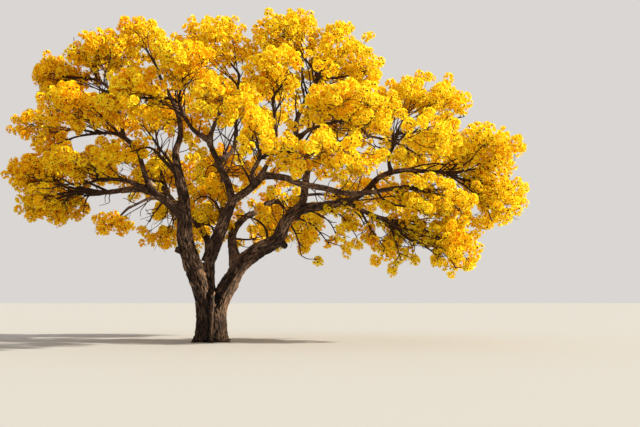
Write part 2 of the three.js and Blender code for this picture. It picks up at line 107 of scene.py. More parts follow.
# The stems that the bole divides into: the points of the course, and the radius at foot and tip.
FORK_STEMS = {
    "left": (((-0.07, -0.03, 0.35), (-0.16, -0.06, 1.0), (-0.4, -0.11, 1.64)), 0.218, 0.19),
    "middle": (((0.01, 0.06, 0.4), (-0.09, 0.07, 1.1), (-0.1, 0.09, 1.64)), 0.2, 0.15),
    "right": (((0.06, 0, 0.45), (0.19, 0, 0.85), (0.39, 0, 1.24)), 0.21, 0.195),
}

# Each bough: its carrier, the share of the carrier's course where it leaves, the radius at foot and tip,
# and the points that its course passes after its foot.
BOUGHS = {
    "left_leader": (
        "left", 1, 0.186, 0.078, ((-0.56, -0.15, 2.2), (-0.58, -0.25, 3.05), (-0.75, -0.35, 3.88)),
    ),
    "middle_leader": (
        "middle", 1, 0.146, 0.105, ((0.03, 0.12, 2.02), (0.18, 0.11, 2.4), (0.4, 0.05, 2.93)),
    ),
    "right_limb": (
        "right", 1, 0.178, 0.084,
        ((0.79, 0, 1.8), (1.33, 0.05, 2.11), (1.63, 0.1, 2.6), (2.25, 0.1, 2.82), (2.8, 0.1, 2.92)),
    ),
    "left_low_limb": (
        "left_leader", 0.45, 0.096, 0.038,
        ((-1.33, -0.45, 3.13), (-1.95, -0.4, 3.05), (-2.65, -0.3, 3.15)),
    ),
    "left_sprig_limb": ("left_low_limb", 0.2, 0.04, 0.026, ((-1.25, -0.85, 2.87), (-1.48, -1.0, 2.7))),
    "left_reach_limb": ("left_low_limb", 0.38, 0.055, 0.036, ((-1.6, -0.6, 3.27), (-2.15, -0.8, 3.28))),
    "left_rising_limb": (
        "left_low_limb", 0.34, 0.06, 0.036,
        ((-1.35, -0.6, 3.5), (-1.6, -0.75, 4.08), (-2.25, -0.6, 4.26)),
    ),
    "left_upper_limb": (
        "left_rising_limb", 0.7, 0.042, 0.03,
        ((-1.9, -0.65, 4.75), (-2.15, -0.4, 5.3), (-2.65, -0.1, 5.54)),
    ),
    "left_top_leader": (
        "left_leader", 1, 0.068, 0.036, ((-0.62, -0.4, 4.4), (-0.75, -0.4, 4.85), (-1.08, -0.25, 5.45)),
    ),
    "middle_left": (
        "middle_leader", 1, 0.082, 0.036, ((0.23, -0.1, 3.55), (-0.02, -0.5, 4.11), (0.27, -1.1, 4.65)),
    ),
    "cross_limb": ("middle_left", 0.62, 0.052, 0.032, ((-0.29, -0.7, 4.27), (-0.55, -1.2, 4.76))),
    "top_left_leader": (
        "middle_left", 0.4, 0.052, 0.032, ((0.47, 0.15, 4.15), (0.4, 0.35, 4.8), (0.48, 0.48, 5.7)),
    ),
    "middle_right": (
        "middle_leader", 1, 0.09, 0.042,
        ((1.15, -0.2, 3.43), (1.65, -0.3, 3.3), (2.95, -0.6, 3.03), (4.0, -0.6, 3.15)),
    ),
    "front_top_limb": (
        "middle_right", 0.17, 0.055, 0.032, ((1.3, -0.45, 3.85), (1.38, -0.75, 4.35), (1.3, -1.0, 4.8)),
    ),
    "front_limb": ("middle_right", 0.16, 0.052, 0.036, ((0.9, -0.9, 3.35), (1.15, -1.9, 3.55))),
    "right_riser": (
        "right_limb", 0.62, 0.088, 0.038,
        ((1.9, 0.25, 3.1), (2.0, 0.25, 3.85), (1.74, 0.1, 4.5), (2.2, 0.1, 5.6)),
    ),
    "front_high_limb": ("right_riser", 0.56, 0.046, 0.032, ((2.25, -0.6, 4.42), (2.8, -1.1, 4.42))),
    "right_tip_limb": (
        "right_limb", 1, 0.074, 0.04, ((3.35, 0.1, 3.25), (3.8, 0.05, 3.55), (4.9, 0, 3.52)),
    ),
    "right_up_limb": ("right_tip_limb", 0.5, 0.042, 0.03, ((3.7, -0.4, 3.92), (3.8, -0.9, 4.2))),
    "right_low_limb": ("right_limb", 1, 0.058, 0.042, ((3.15, 0.05, 2.7), (3.75, -0.1, 2.48))),
    "back_left_limb": (
        "middle_leader", 0.15, 0.078, 0.044, ((-0.25, 0.55, 2.25), (-0.7, 1.2, 2.75), (-1.35, 1.8, 3.4)),
    ),
    "back_mid_limb": ("middle_leader", 0.5, 0.072, 0.04, ((0.12, 0.9, 3.0), (-0.05, 1.85, 3.95))),
    "back_right_limb": (
        "right_limb", 0.1, 0.105, 0.046, ((0.36, 0.5, 2.25), (0.85, 1.4, 2.9), (1.6, 2.15, 3.25)),
    ),
    "back_crest_limb": ("right_riser", 0.34, 0.054, 0.038, ((2.5, 0.9, 4.25), (3.3, 1.5, 4.6))),
}
GREAT_LIMBS = ("left_leader", "middle_leader", "right_limb")  # fused with the trunk in one mesh

# Each mass of blossom: the bough whose tip carries it, its middle and its reach along X, Y and Z.
MASSES = {
    "left_tip": ("left_low_limb", (-3.6, -0.3, 3.4), (0.64, 0.95, 0.42)),
    "left_hem": ("left_low_limb", (-3.45, 0.5, 2.85), (0.85, 1, 0.46)),
    "left_flat": ("left_reach_limb", (-2.2, -1.4, 3.5), (0.95, 0.9, 0.5)),
    "left_sprig": ("left_sprig_limb", (-1.85, -1.15, 2.3), (0.44, 0.46, 0.28)),
    "left_point": ("left_rising_limb", (-3.65, 0.1, 4.4), (0.65, 1.05, 0.48)),
    "left_body": ("left_rising_limb", (-2.5, -1.3, 4.6), (0.9, 1.05, 0.6)),
    "left_upper_tip": ("left_upper_limb", (-3.42, 0.3, 5.55), (0.6, 1, 0.45)),
    "left_crest": ("left_upper_limb", (-2.28, -0.2, 5.96), (0.8, 1.05, 0.6)),
    "left_top": ("left_top_leader", (-1.55, 0.2, 6.36), (0.75, 1.15, 0.58)),
    "left_face": ("cross_limb", (-1.35, -1.85, 4.7), (0.8, 0.9, 0.56)),
    "ridge_upper": ("cross_limb", (-0.35, -1.9, 5.25), (0.8, 1, 0.5)),
    "ridge_mid": ("middle_left", (0.48, -2.6, 4.5), (0.7, 0.95, 0.54)),
    "ridge_low": ("front_limb", (1.05, -3.1, 3.7), (0.54, 0.9, 0.56)),
    "top_left": ("top_left_leader", (0.02, 0.4, 6.36), (1.04, 1.2, 0.68)),
    "top_mid": ("right_riser", (1.5, 0.2, 6.52), (0.84, 1.1, 0.6)),
    "top_right": ("right_riser", (2.7, 0.2, 5.9), (1, 1.2, 0.94)),
    "front_top": ("front_top_limb", (1.65, -1.65, 5.2), (0.95, 1, 0.54)),
    "front_high": ("front_high_limb", (2.75, -2.3, 4.4), (1, 1.05, 0.54)),
    "front_centre": ("front_limb", (2.3, -3, 3.4), (1.15, 1.05, 0.5)),
    "right_shoulder": ("right_up_limb", (4.35, 0, 5.08), (1.1, 1.15, 0.6)),
    "right_front": ("right_up_limb", (4, -1.9, 3.9), (1, 1.1, 0.56)),
    "right_upper": ("right_tip_limb", (5.58, -0.3, 3.9), (1, 1.1, 0.62)),
    "right_tip": ("right_tip_limb", (5.98, 0.3, 2.98), (0.78, 1.08, 0.78)),
    "right_mid": ("middle_right", (4.6, -0.85, 2.9), (0.8, 0.95, 0.56)),
    "right_hang": ("right_low_limb", (4.98, -0.25, 2.02), (0.64, 0.85, 0.78)),
    "right_hem": ("right_low_limb", (3.9, 0, 2.12), (0.74, 0.78, 0.6)),
    "back_left_low": ("back_left_limb", (-1.18, 2.6, 2.48), (0.96, 1.15, 0.74)),
    "back_left_mid": ("back_left_limb", (-2, 2.2, 3.85), (1.3, 1.2, 0.74)),
    "back_left_crest": ("back_left_limb", (-1.7, 2.1, 5.2), (1.25, 1.2, 0.7)),
    "back_mid": ("back_mid_limb", (-0.2, 3.2, 3.9), (1.22, 1.05, 0.85)),
    "back_crest": ("back_mid_limb", (0.5, 2.5, 5.55), (1.25, 1.2, 0.68)),
    "back_right_low": ("back_right_limb", (1.5, 2.7, 2.78), (1, 1.15, 0.98)),
    "back_right": ("back_right_limb", (3.3, 2.8, 3.25), (1.1, 1.15, 0.62)),
    "back_right_crest": ("back_crest_limb", (2.95, 2.3, 5.15), (1.15, 1.2, 0.66)),
    "back_right_tip": ("back_crest_limb", (4.9, 2.1, 4.15), (1.05, 1.15, 0.64)),
}

# Branches that grow on from the limbs among the blossom: the limb, the share of its course where each
# leaves, its foot's radius and the corners of its course.
OFFSHOOTS = {
    "low_on": (
        "left_low_limb", 1, 0.034, ((-3.02, -0.35, 3.01), (-3.29, -0.4, 2.94), (-3.53, -0.45, 2.79)),
    ),
    "low_up": (
        "left_low_limb", 0.75, 0.03, ((-2.91, -0.18, 3.43), (-3.33, 0, 3.59), (-3.75, 0.2, 3.66)),
    ),
    "reach_on": (
        "left_reach_limb", 1, 0.032, ((-2.4, -1.13, 3.14), (-2.69, -1.47, 3.09), (-2.89, -1.8, 2.95)),
    ),
    "rising_on": (
        "left_rising_limb", 1, 0.032, ((-2.65, -0.6, 4.24), (-2.88, -0.6, 4.15), (-3.22, -0.6, 3.99)),
    ),
    "upper_on": ("left_upper_limb", 1, 0.03, ((-3.03, 0, 5.55), (-3.33, 0.03, 5.64), (-3.6, 0.1, 5.68))),
    "upper_top": (
        "left_upper_limb", 0.85, 0.03, ((-2.44, -0.23, 5.72), (-2.72, -0.2, 5.98), (-2.97, -0.2, 6.22)),
    ),
    "leader_side": (
        "left_leader", 0.78, 0.052, ((-1.07, -0.51, 3.9), (-1.32, -0.71, 3.91), (-1.56, -0.9, 3.81)),
    ),
    "leader_fork": (
        "left_leader", 0.84, 0.036, ((-1.09, -0.52, 4), (-1.16, -0.71, 4.17), (-1.31, -0.9, 4.36)),
    ),
    "middle_rise": (
        "middle_right", 0.14, 0.03, ((0.73, -0.39, 3.44), (0.63, -0.69, 3.64), (0.58, -1, 3.84)),
    ),
    "low_fall": (
        "right_low_limb", 1, 0.038, ((4.11, -0.13, 2.14), (4.48, -0.17, 1.95), (4.74, -0.2, 1.7)),
    ),
    "fall_side": (
        "right_low_limb", 0.3, 0.03, ((3.25, -0.07, 2.4), (3.45, -0.19, 2.14), (3.58, -0.3, 1.92)),
    ),
    "under_twig": (
        "right_limb", 0.62, 0.025, ((2.15, -0.1, 2.39), (2.27, -0.3, 2.17), (2.43, -0.5, 1.99)),
    ),
    "mid_fall": (
        "right_tip_limb", 0.3, 0.034, ((3.65, -0.3, 2.87), (4.02, -0.7, 2.71), (4.37, -1.1, 2.51)),
    ),
    "tip_fall": (
        "right_tip_limb", 0.7, 0.03, ((4.63, -0.12, 3.15), (4.94, -0.26, 2.9), (5.16, -0.4, 2.61)),
    ),
    "tip_on": ("right_tip_limb", 1, 0.034, ((5.18, 0.07, 3.42), (5.59, 0.13, 3.37), (6.01, 0.2, 3.19))),
    "right_on": ("middle_right", 1, 0.036, ((4.43, -0.7, 3.07), (4.81, -0.8, 2.88), (5.07, -0.9, 2.6))),
    "back_arc": ("right_limb", 0.36, 0.032, ((1.06, 0.32, 2.39), (0.78, 0.61, 2.61), (0.4, 0.9, 2.72))),
    "back_twig": (
        "back_right_limb", 0.25, 0.028, ((0.65, 0.62, 2.19), (0.85, 0.81, 2.16), (1.01, 1, 2.27)),
    ),
    "cross_twig": (
        "middle_leader", 0.35, 0.028, ((-0.1, 0.34, 2.52), (-0.34, 0.57, 2.49), (-0.55, 0.8, 2.62)),
    ),
    "arch_twig": (
        "middle_leader", 0.62, 0.03, ((-0.04, 0.32, 3.01), (-0.3, 0.56, 3.1), (-0.55, 0.8, 2.98)),
    ),
    "inner_fall": ("right_limb", 0.58, 0.026, ((1.72, 0.3, 2.35), (1.8, 0.5, 2.1), (1.85, 0.6, 1.8))),
    "crest_on": ("right_riser", 1, 0.03, ((2.35, 0.15, 6.0), (2.48, 0.2, 6.4), (2.56, 0.2, 6.72))),
    "side_on": ("right_riser", 1, 0.028, ((2.7, 0.15, 5.6), (3.15, 0.2, 5.75), (3.48, 0.2, 5.8))),
    "shoulder_on": ("right_up_limb", 1, 0.026, ((4.3, -0.7, 4.3), (4.8, -0.5, 4.5), (5.25, -0.3, 4.66))),
    "far_tip": ("right_tip_limb", 1, 0.026, ((5.3, 0, 3.6), (5.75, 0.05, 3.66), (6.15, 0.1, 3.7))),
    "under_near": ("right_limb", 0.66, 0.022, ((2.29, 0.2, 2.67), (2.46, 0.4, 2.48), (2.61, 0.5, 2.23))),
    "under_side": ("right_limb", 0.8, 0.024, ((2.63, 0.05, 2.68), (2.79, 0, 2.49), (2.96, -0.1, 2.25))),
    "under_far": ("right_limb", 0.93, 0.024, ((2.92, 0.1, 2.77), (3.14, 0.2, 2.57), (3.25, 0.3, 2.32))),
    "right_fall": (
        "right_low_limb", 0.9, 0.024, ((3.81, -0.1, 2.14), (3.87, -0.1, 1.89), (3.93, -0.1, 1.67)),
    ),
    "hang_drop": ("right_low_limb", 1, 0.024, ((4.3, -0.15, 2.2), (4.75, -0.2, 1.9), (5.05, -0.2, 1.5))),
    "tip_drop": ("right_tip_limb", 1, 0.026, ((5.4, 0.1, 3.2), (5.75, 0.25, 2.85), (5.91, 0.3, 2.49))),
    "hem_drop": (
        "left_low_limb", 0.85, 0.022, ((-2.4, -0.5, 3.05), (-2.48, -0.6, 2.85), (-2.52, -0.7, 2.62)),
    ),
    "left_drop": (
        "left_low_limb", 1, 0.022, ((-2.95, -0.38, 2.95), (-3.15, -0.35, 2.7), (-3.26, -0.3, 2.48)),
    ),
    "low_side": (
        "left_low_limb", 0.22, 0.024, ((-1.09, -0.1, 2.81), (-1.28, 0.3, 2.68), (-1.45, 0.7, 2.55)),
    ),
}

# The joined pieces of blossom, and what bears the clusters in each.
SIDES = {
    "flowers_left": ("left_tip", "left_hem", "left_flat", "left_sprig", "left_point", "left_body"),
    "flowers_left_crown": (
        "left_upper_tip", "left_crest", "left_top", "left_face", "ridge_upper", "top_left",
    ),
    "flowers_front": ("ridge_mid", "ridge_low", "front_top", "front_high", "front_centre", "top_mid"),
    "flowers_right_crown": ("top_right", "right_shoulder", "right_front", "right_hem"),
    "flowers_right": ("right_upper", "right_tip", "right_mid", "right_hang"),
    "flowers_back_left": ("back_left_low", "back_left_mid", "back_left_crest", "back_mid"),
    "flowers_back_right": ("back_crest", "back_right_low", "back_right"),
    "flowers_back_crown": ("back_right_crest", "back_right_tip"),
    "flowers_within": (*BOUGHS, *OFFSHOOTS),  # the short sprigs along the limbs
}
BEARERS = (*MASSES, *BOUGHS, *OFFSHOOTS)

# What the photo's camera sees through the crown. No cluster stands before these stretches of the limbs,
# each from one share of its course to another; the offshoots are kept in sight as well.
IN_SIGHT = {
    "left_leader": (0, 1),
    "left_top_leader": (0, 0.55),
    "left_low_limb": (0, 0.85),
    "left_sprig_limb": (0, 1),
    "left_reach_limb": (0, 0.7),
    "left_rising_limb": (0, 1),
    "left_upper_limb": (0.75, 1),
    "middle_leader": (0, 1),
    "middle_left": (0, 1),
    "cross_limb": (0, 1),
    "top_left_leader": (0, 0.55),
    "middle_right": (0, 1),
    "front_top_limb": (0.55, 1),
    "right_limb": (0, 1),
    "right_riser": (0, 0.3),
    "front_high_limb": (0, 0.8),
    "right_tip_limb": (0, 1),
    "right_up_limb": (0, 0.5),
    "right_low_limb": (0, 1),
}
# The gaps that stay open in the crown, on the upright plane through the trunk: x, z and radius.
CROWN_GAPS = (
    (-2.81, 4.1, 0.18), (-2.6, 4.24, 0.1), (-1.85, 3.59, 0.17), (-1.41, 3.77, 0.1), (-2.15, 3.18, 0.12),
    (-1.02, 4.21, 0.11), (-0.64, 3.97, 0.14), (-1.5, 5.03, 0.1), (1.28, 4.95, 0.14), (1.06, 5, 0.08),
    (0.75, 3.83, 0.08), (0.5, 3.36, 0.1), (1.56, 3.14, 0.08), (2, 2.95, 0.12), (2.25, 2.97, 0.12),
    (3.1, 3.99, 0.1), (3.52, 3.65, 0.11), (4.65, 3.31, 0.08), (5.48, 2.73, 0.12), (0.77, 2.69, 0.12),
    (0.61, 2.4, 0.14), (2.51, 2.57, 0.11), (3.52, 2.24, 0.15), (2.95, 2.2, 0.12), (4.04, 2.03, 0.1),
    (-1.45, 2.7, 0.2), (-1.25, 2.4, 0.16), (-1.9, 2.95, 0.14), (-2.42, 2.8, 0.17), (-2.89, 2.42, 0.13),
    (-2.1, 2.21, 0.12), (-0.93, 2.49, 0.13), (4.33, 1.9, 0.15), (4.54, 5.39, 0.12), (-3.5, 2.49, 0.11),
    (-2.97, 6.48, 0.12),
)

UP = np.array((0.0, 0.0, 1.0))
TO_THE_RIGHT = np.array((1.0, 0.0, 0.0))


class Chance:
    """A small generator of even chances, the same for the same seed."""

    FACTOR = 1664525
    STEP = 1013904223
    RANGE = 2**32

    def __init__(self, seed):
        self.state = seed

    def next(self):
        self.state = (self.state * self.FACTOR + self.STEP) % self.RANGE
        return self.state / self.RANGE

    def around(self, reach):
        return (self.next() * 2 - 1) * reach

    def between(self, low, high):
        return low + (high - low) * self.next()


def unit(v):
    """A vector, or each row of an array, at length one."""
    return v / np.linalg.norm(v, axis=-1, keepdims=True)


def length_of(v):
    return float(np.linalg.norm(v))


class Smooth:
    """A Catmull-Rom curve through points, read at even steps of its length."""

    READINGS = 200

    def __init__(self, points):
        self.points = np.array(points, float)
        first, last = self.points[:2], self.points[-2:]
        self.padded = np.vstack([2 * first[0] - first[1], self.points, 2 * last[1] - last[0]])
        self.times = np.linspace(0, len(self.points) - 1, self.READINGS + 1)
        self.lengths = np.concatenate([[0], np.cumsum(steps_of(self.at(self.times)))])
        self.length = self.lengths[-1]

    def at(self, times):
        i = np.minimum(times.astype(int), len(self.points) - 2)
        u = (times - i)[:, None]
        p0, p1, p2, p3 = (self.padded[i + k] for k in range(4))
        m1, m2 = (p2 - p0) / 2, (p3 - p1) / 2
        return p1 + u * m1 + u**2 * (3 * (p2 - p1) - 2 * m1 - m2) + u**3 * (2 * (p1 - p2) + m1 + m2)

    def spaced(self, count):
        """count + 1 points at even steps along the curve."""
        return self.at(self.times_of(count))

    def times_of(self, count):
        return np.interp(np.linspace(0, self.length, count + 1), self.lengths, self.times)


def crooked(points, seed, kink=KINK):
    """The corners of a limb's course: evenly spaced on a smooth curve, then moved a little by chance."""
    curve = Smooth(points)
    count = max(2, math.floor(curve.length / KINK_STEP + 0.5))
    corners = curve.spaced(count)
    chance = Chance(seed)
    for i in range(count + 1):
        stray = [chance.around(kink) for _ in range(3)]
        if 0 < i < count:
            corners[i] += stray
    return corners


def steps_of(corners):
    """The lengths of a course's straight pieces."""
    return np.linalg.norm(np.diff(corners, axis=0), axis=1)


def course_length(corners):
    return steps_of(corners).sum()


def along(corners, share):
    """The point a share of the way along a course."""
    lengths = steps_of(corners)
    left = min(max(share, 0), 1) * lengths.sum()
    for i, length in enumerate(lengths):
        if left <= length or i == len(lengths) - 1:
            return corners[i] + (corners[i + 1] - corners[i]) * min(left / length, 1)
        left -= length


def distances(a0, a1, b0, b1):
    """The shortest distances from the straight piece a0 to a1, to each of the pieces b0 to b1."""
    u, v, w = a1 - a0, b1 - b0, a0 - b0
    uu, uv, vv = u @ u, v @ u, (v * v).sum(1)
    uw, vw = w @ u, (v * w).sum(1)
    spread = uu * vv - uv * uv
    is_skew = spread > PARALLEL * uu * vv
    s = np.where(is_skew, np.clip((uv * vw - vv * uw) / np.where(is_skew, spread, 1), 0, 1), 0)
    t = np.where(vv > 0, np.clip((uv * s + vw) / np.where(vv > 0, vv, 1), 0, 1), 0)
    s = np.clip((uv * t - uw) / uu, 0, 1) if uu > 0 else np.zeros(len(t))
    return np.linalg.norm(w + u * s[:, None] - v * t[:, None], axis=1)


@functools.cache
def limbs():
    """The courses and radii of the trunk's stems and of the boughs, by name."""
    made = {}
    for name, (path, foot, tip) in FORK_STEMS.items():
        corners = crooked(path, BOUGH_SEED, 0)
        radii = np.linspace(foot, tip, len(corners))
        made[name] = SimpleNamespace(corners=corners, radii=radii, owner="trunk")
    for i, (name, (carrier, share, foot, tip, points)) in enumerate(BOUGHS.items()):
        start = along(made[carrier].corners, share)
        corners = crooked([start, *points], BOUGH_SEED + i * BOUGH_SEED_STEP)
        radii = np.linspace(foot, tip, len(corners))
        if share < 1:
            radii[0] *= 1 + COLLAR
        made[name] = SimpleNamespace(corners=corners, radii=radii, owner=name)
    return made


def outward_at(limb):
    """The way in which a limb points at its tip."""
    return unit(limb.corners[-1] - limb.corners[-2])


def stem_of(name):
    """The course of a mass's stem, from the tip of its bough to a hub inside the mass."""
    carrier, middle, _ = MASSES[name]
    middle = np.array(middle)
    limb = limbs()[carrier]
    outward = outward_at(limb)
    foot = limb.corners[-1] + outward * GAP
    fellows = [MASSES[other][1] for other in MASSES if other != name and MASSES[other][0] == carrier]
    if fellows:
        apart = middle - np.mean(fellows, axis=0)
        apart = unit(apart - outward * (apart @ outward))
        foot = foot + apart * STEM_RADIUS * STEM_APART
    neck = foot + outward * STEM_NECK
    hub = foot + (middle - foot) * HUB_SHARE
    bend = (foot + hub) / 2 + UP * length_of(foot - hub) * STEM_LIFT
    return np.array([foot, neck, bend, hub])


def thrown(chance):
    """A way out from the middle of a mass, by chance, over the part of a sphere that carries heads."""
    z = LOWEST_HEAD + (1 - LOWEST_HEAD) * chance.next()
    bearing = chance.next() * math.pi * 2
    ring = math.sqrt(1 - z * z)
    return np.array([ring * math.cos(bearing), ring * math.sin(bearing), z])


def root_on(bearer, to):
    """Of a bearer's places clear of its other roots, the one that a twig leaves at the best angle."""
    best = None
    for i in range(ROOT_PLACES + 1):
        share = bearer.first + (bearer.last - bearer.first) * i / ROOT_PLACES
        start = along(bearer.course, share)
        ahead = unit(along(bearer.course, share + SLOPE_STEP) - along(bearer.course, share - SLOPE_STEP))
        miss = abs(unit(to - start) @ ahead - TWIG_COSINE)
        is_free = all(length_of(root - start) > ROOT_SPACING for root in bearer.roots)
        radius = bearer.radius * (1 - share * bearer.taper) * ROOT_PART
        if is_free and (best is None or miss < best.miss):
            best = SimpleNamespace(start=start, miss=miss, radius=radius, ahead=ahead)
    return best


def grow_mass(name, stem, seed, claims):
    """The twigs of a mass, each to a head's middle, clear of limbs, other masses and other heads."""
    _, middle, reach = MASSES[name]
    chance = Chance(seed)
    middle = np.array(middle)
    room = np.array(reach) - HEAD_RADIUS * HEAD_INSET
    others = [c for c in claims if c[0] != name]
    b0, b1 = (np.array([c[k] for c in others]) for k in (1, 2))
    thick = np.array([c[3] for c in others])

    def is_clear(start, end, radius):
        return bool((distances(start, end, b0, b1) > radius + thick + CLEARANCE).all())

    def bearer_of(course, first, last, radius, taper):
        return SimpleNamespace(course=course, first=first, last=last, roots=[], radius=radius, taper=taper)

    stem_bearer = bearer_of(stem, FIRST_SHARE, LAST_SHARE, STEM_RADIUS, STEM_TAPER)
    bearers, twigs = [], []
    for i in range(THROWS):
        is_fixed = i < len(FIRST_WAYS)
        way = np.array(FIRST_WAYS[i], float) if is_fixed else thrown(chance)
        share = 1 if is_fixed else INNERMOST_HEAD + (1 - INNERMOST_HEAD) * chance.next()
        to = middle + way * room * share
        chance.next()
        ends = np.array([t.to for t in twigs]).reshape(-1, 3)
        if len(ends) and np.linalg.norm(ends - to, axis=1).min() < HEAD_RADIUS * HEAD_SPACING:
            continue
        if distances(to, to, stem[:-1], stem[1:]).min() < HEAD_RADIUS * HEAD_CORE:
            continue
        if not is_clear(to, to, HEAD_RADIUS):
            continue
        near = [b for b in bearers if length_of(b.course[1] - to) < length_of(stem[-1] - to)]
        near.sort(key=lambda b: length_of(b.course[1] - to))
        for bearer in [*near[:NEAR_TWIGS], stem_bearer]:
            root = root_on(bearer, to)
            if root is None:
                continue
            is_hit = len(ends) and distances(root.start, to, ends, ends).min() < HEAD_RADIUS * HEAD_CORE
            if is_hit or not is_clear(root.start, to, root.radius):
                continue
            twigs.append(SimpleNamespace(start=root.start, to=to, radius=root.radius, ahead=root.ahead))
            bearer.roots.append(root.start)
            if bearer is stem_bearer:
                bearers.append(bearer_of(np.array([root.start, to]), *BEARING, root.radius, TWIG_TAPER))
            break
    return twigs


@functools.cache
def masses():
    """The stem and twigs of every mass, by the growth rule."""
    claims = [("trunk", np.zeros(3), UP * TRUNK_HEIGHT, BOLE_RADIUS)]

    def claim(owner, course, radii):
        for i in range(len(course) - 1):
            claims.append((owner, course[i], course[i + 1], max(radii[i], radii[i + 1])))

    for limb in limbs().values():
        claim(limb.owner, limb.corners, limb.radii)
    stems = {name: stem_of(name) for name in MASSES}
    for name, stem in stems.items():
        claim(name, stem[1:], [STEM_RADIUS] * (len(stem) - 1))
    grown = {}
    for i, (name, stem) in enumerate(stems.items()):
        twigs = grow_mass(name, stem, MASS_SEED + i * MASS_SEED_STEP, claims)
        for twig in twigs:
            claim(name, [twig.to, twig.to], [HEAD_RADIUS] * 2)
            claim(name, [twig.start, twig.to], [twig.radius] * 2)
        grown[name] = SimpleNamespace(stem=stem, twigs=twigs)
    return grown


# The wood's own sizes. Lengths are in metres.
COURSE_STEP = 0.08  # between the readings of a limb's smooth course
SWELL = 0.4  # share by which a limb widens where it leaves its carrier's side
SWELL_REACH = 1.2  # and how far that runs, in its own radii
BOLE_SIDES = 96
BOLE_RINGS = 40
LIMB_ROUNDNESS = 5  # bevel resolution of the limbs' curves
SOFTENING = 4  # passes of smoothing in the crotches
GROUND_FLAT = 0.012  # what the remesh leaves lower than this is set flat on the ground
FISSURE_SETS = ((0.0, 1.0), (5.0, 0.5))  # place in the noise and width of the coarse and of the fine set
GROOVES = (-108, -66, 5, 75, 150)  # bearings of the grooves between the stems at the ground, in degrees
GROOVE_TWIST = 14  # degrees that they turn in a metre
GROOVE_WIDTH = 11  # degrees
GROOVE_DEPTH = 0.055
GROOVE_TOP = (0.95, 1.3)  # they fade out between these heights
GROOVE_WANDER = 5  # degrees to each side
GROOVE_WAVE = 5  # radians of that wander in a metre
GROOVE_SHIFT = 2  # radians between the wanders of two grooves
GROOVED_WITHIN = 0.5  # of the trunk's axis
# The healed stubs: the limb, the share of its course, the direction, the length and the radius of each.
STUBS = (
    ("left_leader", 0.09, (-0.9, -0.3, 0.25), 0.29, 0.085),
    ("right_limb", 0.43, (0.7, -0.25, -0.6), 0.26, 0.085),
)
STUB_SIDES = 16
STUB_ENDS = (1.3, 0.7)  # the radius inside the limb and at the end, in radii
# Painted shade: a hollow this deep, as in a crotch, is painted as dark as a fissure.
HOLLOW_PASSES = 12
HOLLOW_DEPTH = 0.009  # of the hollows that are as dark as a fissure
RIDGE_SHARE = 0.16  # width of a bark ridge, as a share of the limb's radius
RIDGE_LENGTH = 5.5  # of a ridge, in its widths
# Where the flutes of each stem start on the ground.
FLUTE_FEET = ((-0.11, -0.1, 0), (0.0, 0.16, 0), (0.2, -0.03, 0))
FLUTE_RADIUS = 0.24
FLUTE_STEP = 5  # of a stem's readings, between those that a flute passes
FLUTES_ROUND = 2.2  # how close the flutes stand round a thick limb
FLUTE_LENGTH = 14.0  # in radii
FLUTE_SHARE = 1.3  # their depth, in lumps
LEAST_FLUTED = 0.08  # limbs thinner than this have none
LUMPS_ROUND = 1.3  # how close the lumps stand round a limb
LUMP_LENGTH = 6.0  # of a lump, in radii
FISSURES_APART = 7  # how far apart in the noise the fissures of two limbs lie
LUMPS_APART = 3
FLUTES_APART = 5
GRAIN_APART = 3
DEEPEST = 0.12  # fissure, as a share of the limb's radius
RIDGE_STAND = 0.35  # how far the ridges stand out, in fissure depths
LEAST_READINGS = 5  # of a limb's course
STEEP = 0.9  # rise of a course past which X, and not up, guides the directions across it
SKIN_SHARE = 1.6  # how far from a limb's axis its skin is looked for, in radii
SKIN_ROOM = 0.05  # and this much further


def frames_along(points):
    """Two directions across a course at each of its points, carried along it without a twist."""
    tangents = unit(np.gradient(points, axis=0))
    side = np.cross(UP if abs(tangents[0][2]) < STEEP else TO_THE_RIGHT, tangents[0])
    sides = []
    for tangent in tangents:
        side = unit(side - tangent * (side @ tangent))
        sides.append(side)
    return np.array(sides), np.cross(tangents, sides)


def course_of(points, radii, ridge):
    """A course with its radii, its lengths, the directions across it and the width of its ridges."""
    sides, across = frames_along(points)
    lengths = np.concatenate([[0], np.cumsum(steps_of(points))])
    return SimpleNamespace(
        points=points, radii=radii, sides=sides, across=across, lengths=lengths, ridge=ridge
    )


@functools.cache
def courses():
    """The smooth course of every limb, by name, with its radii and the width of its bark's ridges."""
    sizes = bpy.context.scene.ipe_bark
    made = {}
    for name, limb in limbs().items():
        curve = Smooth(limb.corners)
        times = curve.times_of(max(LEAST_READINGS, round(curve.length / COURSE_STEP)))
        radii = np.interp(times, np.arange(len(limb.radii)), limb.radii)
        if name in BOUGHS and BOUGHS[name][1] < 1:
            carrier, share, *_ = BOUGHS[name]
            carrier_radii = limbs()[carrier].radii
            carrier_radius = np.interp(share, np.linspace(0, 1, len(carrier_radii)), carrier_radii)
            past = np.linspace(0, curve.length, len(times)) - carrier_radius
            radii = radii * (1 + SWELL * np.exp(-np.maximum(past, 0) / (SWELL_REACH * limb.radii[0])))
        ridge = min(max(limb.radii[0] * RIDGE_SHARE, sizes.least_ridge), sizes.most_ridge)
        made[name] = course_of(curve.at(times), radii, ridge)
    return made


def bole_radius(height, bearing):
    """The radius of the bole at a height, on a bearing: it flares into root ribs at the ground."""
    flare = math.exp(-height / FLARE_HEIGHT)
    ribs = math.cos(RIB_COUNT * bearing + RIB_TURN) * (RIB_DEPTH + ROOT_RIB_DEPTH * flare)
    roots = math.cos((RIB_COUNT + 2) * bearing - ROOT_TURN) * RIB_DEPTH * flare
    domed = max(0, (height / TRUNK_HEIGHT - DOME_START) / (1 - DOME_START))
    return (BOLE_RADIUS + FLARE * flare) * (1 + ribs + roots) * (1 - BOLE_DOME * domed**2)


